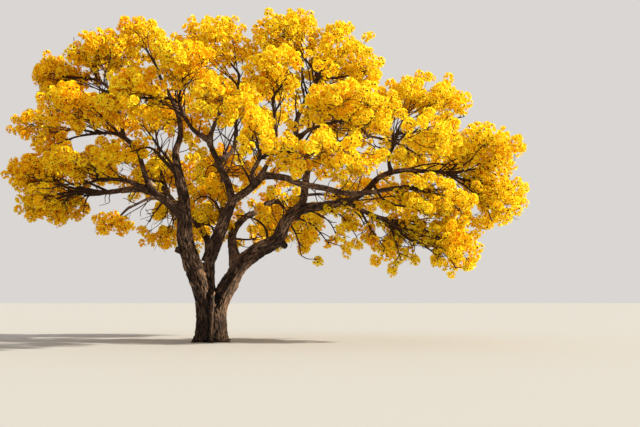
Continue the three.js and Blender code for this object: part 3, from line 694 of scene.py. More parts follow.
def flutes():
    """The courses of the trunk's bark, from the ground through each stem to a great limb's end."""
    made = []
    for stem, limb, foot in zip(FORK_STEMS, GREAT_LIMBS, FLUTE_FEET):
        low, high = courses()[stem], courses()[limb]
        guide = Smooth([foot, *low.points[FLUTE_STEP:-1:FLUTE_STEP], low.points[-1]])
        rise = guide.spaced(len(low.points) + FLUTE_STEP)
        radii = np.interp(rise[:, 2], (0, *low.points[:, 2]), (FLUTE_RADIUS, *low.radii))
        points = np.concatenate([rise, high.points[1:]])
        made.append(course_of(points, np.concatenate([radii, high.radii[1:]]), low.ridge))
    return made


def deselect():
    if bpy.context.object and bpy.context.object.mode != "OBJECT":
        bpy.ops.object.mode_set(mode="OBJECT")
    bpy.ops.object.select_all(action="DESELECT")


def model_limb(name):
    """A limb as a round curve through its course, closed at both ends, made a mesh."""
    course = courses()[name]
    deselect()
    bpy.ops.curve.primitive_nurbs_path_add()
    curve = bpy.context.object.data
    spline = curve.splines[0]
    spline.points.add(len(course.points) - len(spline.points))
    weighted = np.column_stack([course.points, np.ones(len(course.points))])
    spline.points.foreach_set("co", weighted.ravel())
    spline.points.foreach_set("radius", course.radii)
    spline.type = "POLY"
    curve.bevel_depth = 1
    curve.bevel_resolution = LIMB_ROUNDNESS
    curve.use_fill_caps = True
    bpy.ops.object.convert(target="MESH")
    return bpy.context.object


def model_bole():
    """The bole: a disc extruded upwards ring by ring, and each ring brought to the flare and ribs."""
    deselect()
    bpy.ops.mesh.primitive_circle_add(vertices=BOLE_SIDES, radius=BOLE_RADIUS, fill_type="NGON")
    bole = bpy.context.object
    bpy.ops.object.mode_set(mode="EDIT")
    bpy.ops.mesh.select_all(action="SELECT")
    rise = TRUNK_HEIGHT / BOLE_RINGS
    for _ in range(BOLE_RINGS):
        bpy.ops.mesh.extrude_region_move(TRANSFORM_OT_translate={"value": (0, 0, rise)})
    bpy.ops.mesh.select_all(action="SELECT")
    bpy.ops.mesh.normals_make_consistent(inside=False)
    bpy.ops.object.mode_set(mode="OBJECT")
    for vertex in bole.data.vertices:
        x, y, z = vertex.co
        bearing = math.atan2(y, x)
        radius = bole_radius(z, bearing)
        vertex.co = (math.cos(bearing) * radius, math.sin(bearing) * radius, z)
    return bole


def model_stub(limb, share, direction, length, radius):
    """The healed stub of a lost branch: a short cone that starts inside its limb."""
    start = along(courses()[limb].points, share)
    way = unit(np.array(direction, float))
    deselect()
    bpy.ops.mesh.primitive_cone_add(
        vertices=STUB_SIDES, radius1=radius * STUB_ENDS[0], radius2=radius * STUB_ENDS[1], depth=length,
        location=start + way * length / 2, rotation=Vector(way).to_track_quat("Z", "Y").to_euler(),
    )
    stub = bpy.context.object
    bpy.ops.object.transform_apply(location=True, rotation=True, scale=True)
    return stub


def join_and_remesh(name, parts, voxel):
    """Fuses parts that run into each other to one skin of even small faces, softened in the crotches."""
    deselect()
    for part in parts:
        part.select_set(True)
    bpy.context.view_layer.objects.active = parts[0]
    bpy.ops.object.join()
    wood = bpy.context.object
    wood.name = wood.data.name = name
    bpy.ops.object.modifier_add(type="REMESH")
    remesh = wood.modifiers[-1]
    remesh.mode = "VOXEL"
    remesh.voxel_size = voxel
    bpy.ops.object.modifier_apply(modifier=remesh.name)
    bpy.ops.object.modifier_add(type="SMOOTH")
    soften = wood.modifiers[-1]
    soften.iterations = SOFTENING
    bpy.ops.object.modifier_apply(modifier=soften.name)
    return wood


def places_on(points, wood_courses):
    """Where each point lies on its nearest limb: number, radius and ridge, bearing and length."""
    count = len(points)
    best = np.full(count, np.inf)
    found = {key: np.zeros(count) for key in ("number", "radius", "bearing", "length", "ridge")}
    for number, course in enumerate(wood_courses):
        for i in range(len(course.points) - 1):
            a, b = course.points[i], course.points[i + 1]
            room = max(course.radii[i], course.radii[i + 1]) * SKIN_SHARE + SKIN_ROOM
            low, high = np.minimum(a, b) - room, np.maximum(a, b) + room
            close = np.flatnonzero(((points > low) & (points < high)).all(axis=1))
            if not len(close):
                continue
            near = points[close]
            t = np.clip((near - a) @ (b - a) / ((b - a) @ (b - a)), 0, 1)
            offset = near - a - t[:, None] * (b - a)
            radius = course.radii[i] + (course.radii[i + 1] - course.radii[i]) * t
            gap = np.linalg.norm(offset, axis=1) - radius
            better = gap < best[close]
            chosen = close[better]
            offset, t = offset[better], t[better]
            best[chosen] = gap[better]
            side = course.sides[i] + (course.sides[i + 1] - course.sides[i]) * t[:, None]
            across = course.across[i] + (course.across[i + 1] - course.across[i]) * t[:, None]
            found["number"][chosen] = number
            found["radius"][chosen] = radius[better]
            found["bearing"][chosen] = np.arctan2((offset * across).sum(1), (offset * side).sum(1))
            found["length"][chosen] = course.lengths[i] + t * (course.lengths[i + 1] - course.lengths[i])
            found["ridge"][chosen] = course.ridge
    return SimpleNamespace(**found)


def groove_at(points):
    """How deep each point of the trunk is drawn in, by the grooves that run up it from the ground."""
    x, y, z = points.T
    bearings = np.degrees(np.arctan2(y, x))
    fade = np.clip((GROOVE_TOP[1] - z) / (GROOVE_TOP[1] - GROOVE_TOP[0]), 0, 1)
    fade *= np.hypot(x, y) < GROOVED_WITHIN
    depth = np.zeros(len(points))
    for i, bearing in enumerate(GROOVES):
        wander = GROOVE_WANDER * np.sin(z * GROOVE_WAVE + i * GROOVE_SHIFT)
        away = (bearings - bearing - GROOVE_TWIST * z - wander + 180) % 360 - 180
        depth = np.maximum(depth, np.exp(-((away / GROOVE_WIDTH) ** 2)))
    return depth * fade


def hollows_at(mesh, points, normals):
    """How far each vertex lies in a hollow, from 0 to 1: its surroundings' mean against its normal."""
    ends = np.empty(len(mesh.edges) * 2, np.int32)
    mesh.edges.foreach_get("vertices", ends)
    one, other = ends.reshape(-1, 2).T
    here, there = np.concatenate([one, other]), np.concatenate([other, one])
    neighbours = np.bincount(here, minlength=len(points))
    spread = points
    for _ in range(HOLLOW_PASSES):
        sums = [np.bincount(here, weights=spread[there, axis], minlength=len(points)) for axis in range(3)]
        spread = np.column_stack(sums) / neighbours[:, None]
    return np.clip(((spread - points) * normals).sum(axis=1) / HOLLOW_DEPTH, 0, 1)


def noise_at(points):
    """Smooth noise at each point."""
    return np.array([noise.noise(point) for point in points.tolist()])


def lay_bark(wood, wood_courses):
    """Moves the skin into ridges and fissures along each limb, and notes how deep each point lies in a
    fissure or hollow, as the mask of the bark's painted shade.
    """
    sizes = bpy.context.scene.ipe_bark
    mesh = wood.data
    count = len(mesh.vertices)
    points = np.empty((count, 3))
    mesh.vertices.foreach_get("co", points.ravel())
    normals = np.empty((count, 3), np.float32)
    mesh.vertex_normals.foreach_get("vector", normals.ravel())
    on = places_on(points, wood_courses)
    ring = np.column_stack([np.cos(on.bearing), np.sin(on.bearing)])

    def relief(across, lengthwise):
        return noise_at(np.column_stack([ring * across, lengthwise]))

    # The fissures' mask sets their depth, and it also marks where the bark is painted dark as shade.
    fissures_and_shade = np.zeros(count)
    for offset, width in FISSURE_SETS:
        scale = on.ridge * width
        lengthwise = on.length / (scale * RIDGE_LENGTH) + on.number * FISSURES_APART + offset
        crossing = np.abs(relief((on.radius / scale)[:, None], lengthwise)) / sizes.fissure_share
        fissures_and_shade += np.clip(1 - crossing, 0, 1) * width
    fissures_and_shade = np.clip(fissures_and_shade, 0, 1)
    lumps = relief(LUMPS_ROUND, on.length / (on.radius * LUMP_LENGTH) + on.number * LUMPS_APART)
    fluting = relief(FLUTES_ROUND, on.length / (on.radius * FLUTE_LENGTH) + on.number * FLUTES_APART)
    lumps += fluting * np.clip((on.radius - LEAST_FLUTED) / LEAST_FLUTED, 0, 1) * FLUTE_SHARE
    depth = np.minimum(on.ridge * sizes.fissure_depth, on.radius * DEEPEST)
    groove = groove_at(points)
    rise = lumps * on.radius * sizes.lumps - fissures_and_shade * depth + depth * RIDGE_STAND - groove * GROOVE_DEPTH
    points += normals * rise[:, None]
    # Painted shade: the hollows in the crotches join the fissures in the mask that darkens the bark.
    fissures_and_shade = np.clip(fissures_and_shade + hollows_at(mesh, points, normals), 0, 1)
    points[:, 2] = np.where(points[:, 2] < GROUND_FLAT, 0, points[:, 2])
    mesh.vertices.foreach_set("co", points.ravel())
    fissures = mesh.attributes.new("fissures_and_shade", "FLOAT", "POINT")
    fissures.data.foreach_set("value", fissures_and_shade.astype(np.float32))
    grain = np.column_stack([ring * on.radius[:, None], on.length + on.number * GRAIN_APART])
    grains = mesh.attributes.new("grain", "FLOAT_VECTOR", "POINT")
    grains.data.foreach_set("vector", grain.astype(np.float32).ravel())
    mesh.update()
    deselect()
    wood.select_set(True)
    bpy.context.view_layer.objects.active = wood
    bpy.ops.object.shade_smooth()


# The twigs' and clusters' own sizes. Lengths are in metres.
CAMERA_PLACE = (2.249, -18.0, 0.868)  # where the photo was taken from
EYE = np.array(CAMERA_PLACE)
SIGHT_STEPS = 60  # points on a limb's course that are kept in sight
SIGHT_MARGIN = 0.045  # between a cluster's middle and a limb's side or a gap's edge, seen from there
TWIG_SIGHT = np.linspace(0.1, 0.8, 12)  # shares of a twig's course, where it is kept in sight
TWIGS_IN_SIGHT = 6  # of each mass
TWIG_WIDTH = 0.036  # added to the margin at a twig
NEAR_WEIGHT = 0.4  # how much a metre nearer counts against a metre longer, for the twigs in sight
IN_FRONT = 0.1  # nearer than this to a limb, nothing counts as before it
NEARER = 0.4  # by how much a mass's near side counts as lower, and so is barer
STEM_STEPS = 9
STEM_SIDES = 7
STEM_TIP = 0.014
LEAVING = 0.22  # how far a twig holds the way in which it leaves, as a share of its length
HEADING = 0.3  # and how far towards its end the corner of its bend lies
TWIG_TIMES = np.linspace(0, 1, 8)
TWIG_SIDES = 5
TWIG_TIP = 0.0055
TWIGLET_TIMES = np.linspace(0, 1, 4)
TWIGLET_SIDES = 3
TWIGLET_TIP = 0.7  # share of its radius
TWIGLET_ROOTS = np.linspace(0.3, 1, 15)  # the places on a twig that a twiglet may leave
ROOTS_BACK = 2  # from the place nearest to its cluster to the one that it leaves
CLUSTERS_ON_HEAD = 6
HEAD_TRIES = 80
CLUSTERS_BETWEEN = 22  # of a mass, wherever it has room left
BETWEEN_TRIES = 400
BETWEEN_PLACES = (0.35, 1)  # shares of the mass's reach
CLUSTER_SPACING = 0.15
CLUSTER_REACH = (0.1, 0.34)  # from the end of its twig
EDGE = 0.06  # by which the clusters' middles keep inside their mass's reach
LOWEST_SPOT = -0.8  # share of a mass's height, and below it there are no clusters
BARE_BELOW = 0.05  # twiglets that end below this share of a mass's height may be bare
BAREST = -1.1  # and this low, all would be
CLUSTER_SEED = 4001
FEEDERS = 7  # of a mass, branches that go straight to it from its bough
FEEDER_SEED = 6001
FEEDER_THROWS = 40
FEEDER_FIRST = 0.45  # share of the bough's course
FEEDER_ENDS = (0.3, 0.9)  # shares of the mass's reach
FEEDER_RADIUS = 0.8  # of the radius by the rule
BARE_FEEDER = 0.4  # share of a feeder without clusters
FEEDER_STEP = 0.22  # between the clusters along the outer part of a feeder
FEEDER_SIDE = (0.04, 0.2)  # how far to its side they stand
FEEDER_LIFT = 0.5  # how much more of them point up
SWAY = (0.06, 0.035)  # of a twig's course, as shares of its length, in one bow and in two
LONGEST_FEEDER = 1.9
SPRIG_SEED = 7001
SPRIG_STEP = 0.19  # between the short side twigs of a limb
SPRIG_LENGTH = (0.3, 0.95)
SPRIG_RADIUS = 0.012
SPRIG_START = 0.22  # share of a limb's course where they begin
SPRIG_LEAN = (0.2, 1)  # along the limb
CLUSTERS_ON_SPRIG = (2, 4)
SPRIG_REACH = (0.1, 0.24)
SPRIG_LIFT = 0.4
SPRIG_BLOOM = 0.9  # share of its clusters that flower
OFFSHOOT_SEED = 8001
OFFSHOOT_STEPS = 12
OFFSHOOT_TIP = 0.01
OFFSHOOT_SPRIG_STEP = 0.13
OFFSHOOT_SPRIG_LENGTH = (0.12, 0.42)
LUMP_SIZE = 0.5  # of the lumps in a mass's outline
LUMP_DEPTH = 0.2  # their depth, as a share of its reach

# The flowers' own sizes and colours.
PETALS = 5
PETAL_EDGES = (0.08, 0.92)  # of a petal's turn, where its outer corners lie
PETAL_FACES = 3  # one of the tube and two of the lobe
THROAT_HEIGHT = 0.74  # share of the flower's length
WAY_STRAY = 0.2
WAY_LIFT = 0.18  # how much more of the flowers look up
FLOWER_SCALE = (0.72, 1.22)
CLUSTER_SCALE = (0.85, 1.15)
FLOWER_SEED = 4501
COLOUR_SHARES = (0.42, 0.76)  # of the sprays up to the first colour and up to the second
YELLOWS = len(COLOUR_SHARES) + 1
# The dark calyxes are partly the calyx's own brown and partly painted shade: dark specks that stand for
# shaded gaps among the flowers.
CALYX_SHARE = 0.15  # of the flowers, those whose dark calyx shows
CROWN_MIDDLE = np.array((1.0, 0.0, 4.2))
# Painted light: a spray further right or higher, towards the sun, is likelier to get the first and palest
# yellow.
SUNWARD_LEMON = np.array((0.075, 0.0, 0.07))  # how much likelier a metre right or up makes the first colour
THROUGH_GREEN = 0.77  # of the light through a petal, which comes out warmer

# The finishes.
BARK_ROUGHNESS = 0.9
BARK_GLOSS = 0.25
GRAIN_STRETCH = (38, 38, 7)  # how fine the streaks are, across the limb both ways and along it
STREAK_DETAIL = 4
STREAK_RANGE = (0.3, 0.65)  # of the noise, from the darkest streak to the palest
STREAK_SHADES = (0.2, 1.45)
STREAK_SHARE = 0.75
# The pale patches on the ridges are partly the bark's own paler tone and partly painted dappled sunlight.
PATCH_SCALE = 3.5
PATCH_DETAIL = 3
PATCH_RANGE = (0.42, 0.66)  # of the noise, from ridge to patch
BUMP_STRENGTH = 0.6
BUMP_HEIGHT = 0.008
# Painted shade: the bark is painted darker towards the trunk's foot.
PAINTED_SHADE_FOOT = (0.4, 2.4)  # heights between which the bark comes up to its full colour
PLAIN_GLOSS = 0.1
PETAL_ROUGHNESS = 0.8
DRY_ROUGHNESS = 0.9  # of twigs, calyxes and floor

# The stage.
FLOOR_SIZE = 400
SUN_TURN = (math.radians(62), 0, math.radians(84))
SUN_ANGLE = math.radians(1.5)
SUN_COLOUR = (1.0, 0.94, 0.8)
LAMP_PLACE = (18, -1.5, 0.4)
LAMP_AIM = (0.1, 0, 0.85)
LAMP_RADIUS = 0.3
LAMP_CONE = math.radians(5.5)
LAMP_COLOUR = (1.0, 0.85, 0.62)
CAMERA_TURN = (math.radians(95.7), 0, 0)
CAMERA_LENS = 48.6  # mm
CAMERA_SENSOR = 36
FARTHEST_SEEN = 500


def tubes(paths, radii, sides):
    """Round tubes through many courses of as many points, closed at both ends: vertices and faces."""
    count, steps, _ = paths.shape
    tangents = unit(np.gradient(paths, axis=1))
    lean = np.where(np.abs(tangents[:, :1, 2:]) < STEEP, UP, TO_THE_RIGHT)
    side = unit(np.cross(lean, tangents))
    across = np.cross(tangents, side)
    turns = np.arange(sides) * 2 * math.pi / sides
    ring = np.cos(turns)[:, None] * side[:, :, None] + np.sin(turns)[:, None] * across[:, :, None]
    vertices = paths[:, :, None] + ring * radii[:, :, None, None]
    index = np.arange(count * steps * sides).reshape(count, steps, sides)
    after = np.roll(index, -1, axis=2)
    walls = np.stack([index[:, :-1], after[:, :-1], after[:, 1:], index[:, 1:]], axis=-1).reshape(-1, 4)
    caps = np.concatenate([index[:, 0, ::-1], index[:, -1]])
    return vertices.reshape(-1, 3), [*walls.tolist(), *caps.tolist()]


def bent(starts, ahead, ends, times):
    """Courses that leave along one direction and bend to their ends."""
    spans = ends - starts
    lengths = np.linalg.norm(spans, axis=1, keepdims=True)
    corners = starts + ahead * lengths * LEAVING + spans * HEADING
    t = times[:, None]
    return (1 - t) ** 2 * starts[:, None] + 2 * t * (1 - t) * corners[:, None] + t**2 * ends[:, None]


@functools.cache
def offshoots():
    """Every offshoot's course, smooth, with its radii."""
    grown = {}
    for i, (name, (carrier, share, radius, corners)) in enumerate(OFFSHOOTS.items()):
        limb = limbs()[carrier]
        start = along(limb.corners, share)
        course = crooked([start, *map(np.array, corners)], OFFSHOOT_SEED + i * BOUGH_SEED_STEP)
        course = Smooth(course).spaced(OFFSHOOT_STEPS)
        radii = np.linspace(radius, OFFSHOOT_TIP, len(course))
        grown[name] = SimpleNamespace(corners=course, radii=radii)
    return grown


def on_plane(points):
    """Points as the camera sees them: x and z on the plane through the trunk, and the distance in y."""
    rays = points - EYE
    scale = -EYE[1] / rays[..., 1:2]
    return (EYE + rays * scale)[..., ::2], rays[..., 1]


@functools.cache
def kept_in_sight():
    """The wood that no cluster may hide: places on the camera's plane, their ranges and radii there."""
    places, ranges, widths = [], [], []
    wood = {name: (limbs()[name], span) for name, span in IN_SIGHT.items()}
    wood.update({name: (course, (0, 1)) for name, course in offshoots().items()})
    for limb, (first, last) in wood.values():
        shares = np.linspace(first, last, SIGHT_STEPS)
        points = np.array([along(limb.corners, share) for share in shares])
        radii = limb.radii[0] + (limb.radii[-1] - limb.radii[0]) * shares
        flat, away = on_plane(points)
        places.append(flat)
        ranges.append(away)
        widths.append(radii * -EYE[1] / away)
    for name in MASSES:
        flat, away = on_plane(places_on_paths(twig_paths(name), TWIG_SIGHT))
        spans = np.linalg.norm(flat[:, -1] - flat[:, 0], axis=1)
        clearest = np.argsort(away.mean(axis=1) * NEAR_WEIGHT - spans)[:TWIGS_IN_SIGHT]
        places.append(flat[clearest].reshape(-1, 2))
        ranges.append(away[clearest].ravel())
        widths.append(np.full(away[clearest].size, TWIG_WIDTH))
    return np.concatenate(places), np.concatenate(ranges), np.concatenate(widths)


def hides(spot):
    """Whether a cluster at a spot would stand before wood or a gap that the photo shows."""
    here, away = on_plane(spot)
    places, ranges, widths = kept_in_sight()
    apart = np.hypot(*(places - here).T) - widths
    if (apart[ranges > away + IN_FRONT] < SIGHT_MARGIN).any():
        return True
    return any(math.hypot(x - here[0], z - here[1]) < r + SIGHT_MARGIN for x, z, r in CROWN_GAPS)


def sprigs_of(name):
    """The short side twigs of a limb or offshoot, spaced along it and turned by chance, mostly up."""
    if name in BOUGHS:
        limb, step, reach = limbs()[name], SPRIG_STEP, SPRIG_LENGTH
    else:
        limb, step, reach = offshoots()[name], OFFSHOOT_SPRIG_STEP, OFFSHOOT_SPRIG_LENGTH
    chance = Chance(SPRIG_SEED + BEARERS.index(name) * MASS_SEED_STEP)
    count = int(course_length(limb.corners) * (1 - SPRIG_START) / step)
    sprigs = []
    for i in range(count):
        share = SPRIG_START + (1 - SPRIG_START) * (i + chance.next()) / count
        start = along(limb.corners, share)
        ahead = unit(along(limb.corners, share + SLOPE_STEP) - along(limb.corners, share - SLOPE_STEP))
        way = thrown(chance)
        if name in IN_SIGHT:
            way[1] = abs(way[1])
        way = unit(unit(way - ahead * (way @ ahead)) + ahead * chance.between(*SPRIG_LEAN))
        to = start + way * chance.between(*reach)
        sprigs.append(SimpleNamespace(start=start, to=to, radius=SPRIG_RADIUS, ahead=way))
    return sprigs


@functools.cache
def twigs_of(name):
    """The twigs of a mass with its feeders, long twigs from the bough, or the sprigs of a limb."""
    if name not in MASSES:
        return sprigs_of(name)
    carrier, middle, reach = MASSES[name]
    limb = limbs()[carrier]
    bearer = SimpleNamespace(
        course=limb.corners, first=FEEDER_FIRST, last=LAST_SHARE, roots=[], radius=limb.radii[0],
        taper=1 - limb.radii[-1] / limb.radii[0],
    )
    chance = Chance(FEEDER_SEED + list(MASSES).index(name) * MASS_SEED_STEP)
    twigs = list(masses()[name].twigs)
    room = np.array(reach) - HEAD_RADIUS * HEAD_INSET
    feeders = []
    for _ in range(FEEDER_THROWS):
        to = np.array(middle) + thrown(chance) * room * chance.between(*FEEDER_ENDS)
        root = root_on(bearer, to)
        if root is None or length_of(to - root.start) > LONGEST_FEEDER:
            continue
        if min(length_of(to - feeder.to) for feeder in [*feeders, twigs[0]]) < HEAD_RADIUS:
            continue
        radius = root.radius * FEEDER_RADIUS
        feeders.append(SimpleNamespace(start=root.start, to=to, radius=radius, ahead=root.ahead))
        bearer.roots.append(root.start)
        if len(feeders) == FEEDERS:
            break
    return [*twigs, *feeders]


@functools.cache
def twig_paths(name):
    """The courses of a bearer's twigs as they are drawn, bent and swayed."""
    twigs = twigs_of(name)
    starts, ahead, ends = (np.array([getattr(t, key) for t in twigs]) for key in ("start", "ahead", "to"))
    paths = bent(starts, ahead, ends, TWIG_TIMES)
    rng = np.random.default_rng(FEEDER_SEED + BEARERS.index(name))
    lengths = np.linalg.norm(ends - starts, axis=1)[:, None, None]
    for bows, size in enumerate(SWAY, 1):
        wave = np.sin(TWIG_TIMES * math.pi * bows)[None, :, None]
        paths += rng.normal(size=(len(twigs), 1, 3)) * wave * lengths * size
    return paths


def places_on_paths(paths, times):
    """The places at some shares of each course, on the straight pieces between its points."""
    steps = paths.shape[1] - 1
    i = np.minimum((times * steps).astype(int), steps - 1)
    t = (times * steps - i)[None, :, None]
    return paths[:, i] * (1 - t) + paths[:, i + 1] * t


@functools.cache
def sprig_clusters(name):
    """What clusters gives for a mass, for the sprigs of a limb: a few clusters round the end of each."""
    rng = np.random.default_rng(SPRIG_SEED + BEARERS.index(name))
    spots, bearers = [], []
    for number, twig in enumerate(twigs_of(name)):
        for i in range(rng.integers(*CLUSTERS_ON_SPRIG, endpoint=True)):
            way = unit(rng.normal(size=3) + UP * SPRIG_LIFT)
            spot = twig.to + way * rng.uniform(*SPRIG_REACH) * (i > 0)
            if not hides(spot):
                spots.append(spot)
                bearers.append(number)
    flowering = rng.uniform(size=len(spots)) < SPRIG_BLOOM
    return np.array(spots).reshape(-1, 3), np.array(bearers, int), flowering


@functools.cache
def clusters(name):
    """The ends of a mass's twiglets, the number of the twig that bears each, and whether it flowers."""
    if name not in MASSES:
        return sprig_clusters(name)
    _, middle, reach = MASSES[name]
    room = np.array(reach) - EDGE
    rng = np.random.default_rng(CLUSTER_SEED + list(MASSES).index(name))
    ends = np.array([twig.to for twig in twigs_of(name)])
    spots, bearers, flowering = [], [], []

    def place(spot, bearer, is_within=True):
        share = (spot - middle) / room
        lump = LUMP_DEPTH * noise.noise((middle + unit(share) * room) / LUMP_SIZE)
        if is_within and (length_of(share) > 1 + lump or share[2] < LOWEST_SPOT):
            return False
        if spots and np.linalg.norm(np.array(spots) - spot, axis=1).min() < CLUSTER_SPACING:
            return False
        if hides(spot):
            return False
        height = share[2] + min(share[1], 0) * NEARER
        spots.append(spot)
        bearers.append(bearer)
        flowering.append(rng.uniform() < (height - BAREST) / (BARE_BELOW - BAREST))
        return True

    for number, end in enumerate(ends):
        left = CLUSTERS_ON_HEAD - place(end, number)
        for _ in range(HEAD_TRIES):
            way = unit(rng.normal(size=3))
            if place(end + way * rng.uniform(*CLUSTER_REACH), number):
                left -= 1
            if not left:
                break
    paths = twig_paths(name)
    for number in range(len(masses()[name].twigs), len(ends)):
        count = int(course_length(paths[number]) * (1 - BARE_FEEDER) / FEEDER_STEP)
        for spot in places_on_paths(paths[number : number + 1], np.linspace(BARE_FEEDER, 1, count))[0]:
            way = unit(rng.normal(size=3) + UP * FEEDER_LIFT)
            place(spot + way * rng.uniform(*FEEDER_SIDE), number, False)
    left = CLUSTERS_BETWEEN
    for _ in range(BETWEEN_TRIES):
        spot = middle + unit(rng.normal(size=3)) * room * rng.uniform(*BETWEEN_PLACES)
        number = int(np.linalg.norm(ends - spot, axis=1).argmin())
        left -= place(spot, number)
        if not left:
            break
    return np.array(spots), np.array(bearers), np.array(flowering)


def twiglet_paths(name):
    """The courses of a mass's twiglets, each from the twig that bears it to a cluster's middle."""
    spots, bearers, _ = clusters(name)
    places = places_on_paths(twig_paths(name), TWIGLET_ROOTS)[bearers]
    gaps = np.linalg.norm(places - spots[:, None], axis=2)
    chosen = np.maximum(gaps.argmin(axis=1) - ROOTS_BACK, 0)
    rows = np.arange(len(spots))
    roots = places[rows, chosen]
    onward = unit(places[rows, chosen + 1] - roots)
    return bent(roots, onward, spots, TWIGLET_TIMES)


def mesh_piece(name, vertices, faces, materials, slots=None):
    """A new object at the origin from vertices and faces, with its materials and their slots by face."""
    mesh = bpy.data.meshes.new(name)
    mesh.from_pydata(vertices, [], faces)
    for material in materials:
        mesh.materials.append(material)
    if slots is not None:
        mesh.polygons.foreach_set("material_index", slots.astype(np.int32))
    mesh.update()
    piece = bpy.data.objects.new(name, mesh)
    bpy.context.collection.objects.link(piece)
    return piece


def place_piece(piece, nodes):
    """Lets a piece ride on the tree and stand for its nodes, if it isn't too large."""
    piece.data.calc_loop_triangles()
    count = len(piece.data.loop_triangles)
    if count > MOST_TRIANGLES:
        raise ValueError(f"{piece.name} has {count} triangles")
    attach(piece, BODY)
    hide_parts(*nodes)


def flower_shape(sizes):
    """One trumpet flower along +Z from its foot: the vertices, and triangles that face out and forward."""
    turn = 2 * math.pi / PETALS
    throat = [(i * turn, sizes.throat, sizes.flower_length * THROAT_HEIGHT) for i in range(PETALS)]
    rim = []
    for i in range(PETALS):
        rim += [(i * turn + turn * t, sizes.rim, sizes.flower_length) for t in PETAL_EDGES]
    vertices = [(0, 0, 0)]
    vertices += [(math.cos(a) * r, math.sin(a) * r, z) for a, r, z in [*throat, *rim]]
    faces = []
    for i in range(PETALS):
        here, there = 1 + i, 1 + (i + 1) % PETALS
        first, second = 1 + PETALS + 2 * i, 2 + PETALS + 2 * i
        faces += [(0, there, here), (here, there, second), (here, second, first)]
    return np.array(vertices), np.array(faces)


def spread_ways(count):
    """Directions spread evenly over a sphere."""
    z = 1 - (2 * np.arange(count) + 1) / count
    bearings = np.arange(count) * math.pi * (3 - math.sqrt(5))
    ring = np.sqrt(1 - z * z)
    return np.column_stack([ring * np.cos(bearings), ring * np.sin(bearings), z])


def turned(rng, count):
    """As many rotation matrices, spread by chance over every turn."""
    q = unit(rng.normal(size=(count, 4)))
    w, x, y, z = q.T
    return np.stack([
        np.stack([1 - 2 * (y * y + z * z), 2 * (x * y - w * z), 2 * (x * z + w * y)], axis=-1),
        np.stack([2 * (x * y + w * z), 1 - 2 * (x * x + z * z), 2 * (y * z - w * x)], axis=-1),
        np.stack([2 * (x * z - w * y), 2 * (y * z + w * x), 1 - 2 * (x * x + y * y)], axis=-1),
    ], axis=1)


def flowers_of(names, sizes):
    """The flowers of some masses or limbs: vertices, triangles and the material slot of each."""
    rng = np.random.default_rng(FLOWER_SEED + BEARERS.index(names[0]))
    spots, colours = [], []
    for name in names:
        ends, bearers, flowering = clusters(name)
        sprays = np.array([twig.to for twig in twigs_of(name)])
        # Painted light: sprays towards the sun lean to lemon; otherwise the yellow falls by chance.
        draws = rng.uniform(size=len(sprays)) - (sprays - CROWN_MIDDLE) @ SUNWARD_LEMON
        spots.append(ends[flowering])
        colours.append(np.searchsorted(COLOUR_SHARES, draws)[bearers[flowering]])
    spots, colours = np.concatenate(spots), np.concatenate(colours)
    count = sizes.flowers
    ways = np.einsum("nij,kj->nki", turned(rng, len(spots)), spread_ways(count))
    ways = unit(ways + rng.normal(size=ways.shape) * WAY_STRAY + UP * WAY_LIFT).reshape(-1, 3)
    side = unit(np.cross(ways, unit(rng.normal(size=ways.shape))))
    across = np.cross(ways, side)
    scale = rng.uniform(*FLOWER_SCALE, size=(len(ways), 1))
    cluster_scale = np.repeat(rng.uniform(*CLUSTER_SCALE, size=(len(spots), 1)), count, axis=0)
    scale *= cluster_scale
    feet = np.repeat(spots, count, axis=0) + ways * sizes.core * cluster_scale
    shape, faces = flower_shape(sizes)
    axes = np.stack([side * scale, across * scale, ways * scale], axis=1)
    vertices = feet[:, None] + np.einsum("vk,nkj->nvj", shape, axes)
    triangles = faces[None] + (np.arange(len(ways)) * len(shape))[:, None, None]
    slots = np.repeat(colours, count * len(faces)).reshape(-1, PETALS, PETAL_FACES)
    # The tube faces take the deeper tube tint: partly the throat's own deeper colour, partly painted shade
    # inside the funnel.
    slots[:, :, 0] += YELLOWS
    # A few tubes take the dark calyx colour: partly the calyx's own brown, partly painted shade for the
    # gaps among the flowers.
    slots[rng.uniform(size=len(ways)) < CALYX_SHARE, :, 0] = 2 * YELLOWS
    return vertices.reshape(-1, 3), triangles.reshape(-1, 3), slots.ravel()


def add_node(tree, kind, values=None, links=None, **settings):
    """A shader node with its settings, the values of its sockets and the links into them."""
    node = tree.nodes.new(f"ShaderNode{kind}")
    for key, value in settings.items():
        setattr(node, key, value)
    for socket, value in (values or {}).items():
        node.inputs[socket].default_value = value
    for socket, output in (links or {}).items():
        tree.links.new(output, node.inputs[socket])
    return node


def new_material(name):
    """A new material with its node tree cleared, and the tree."""
    material = bpy.data.materials.new(name)
    material.use_nodes = True
    material.node_tree.nodes.clear()
    return material, material.node_tree


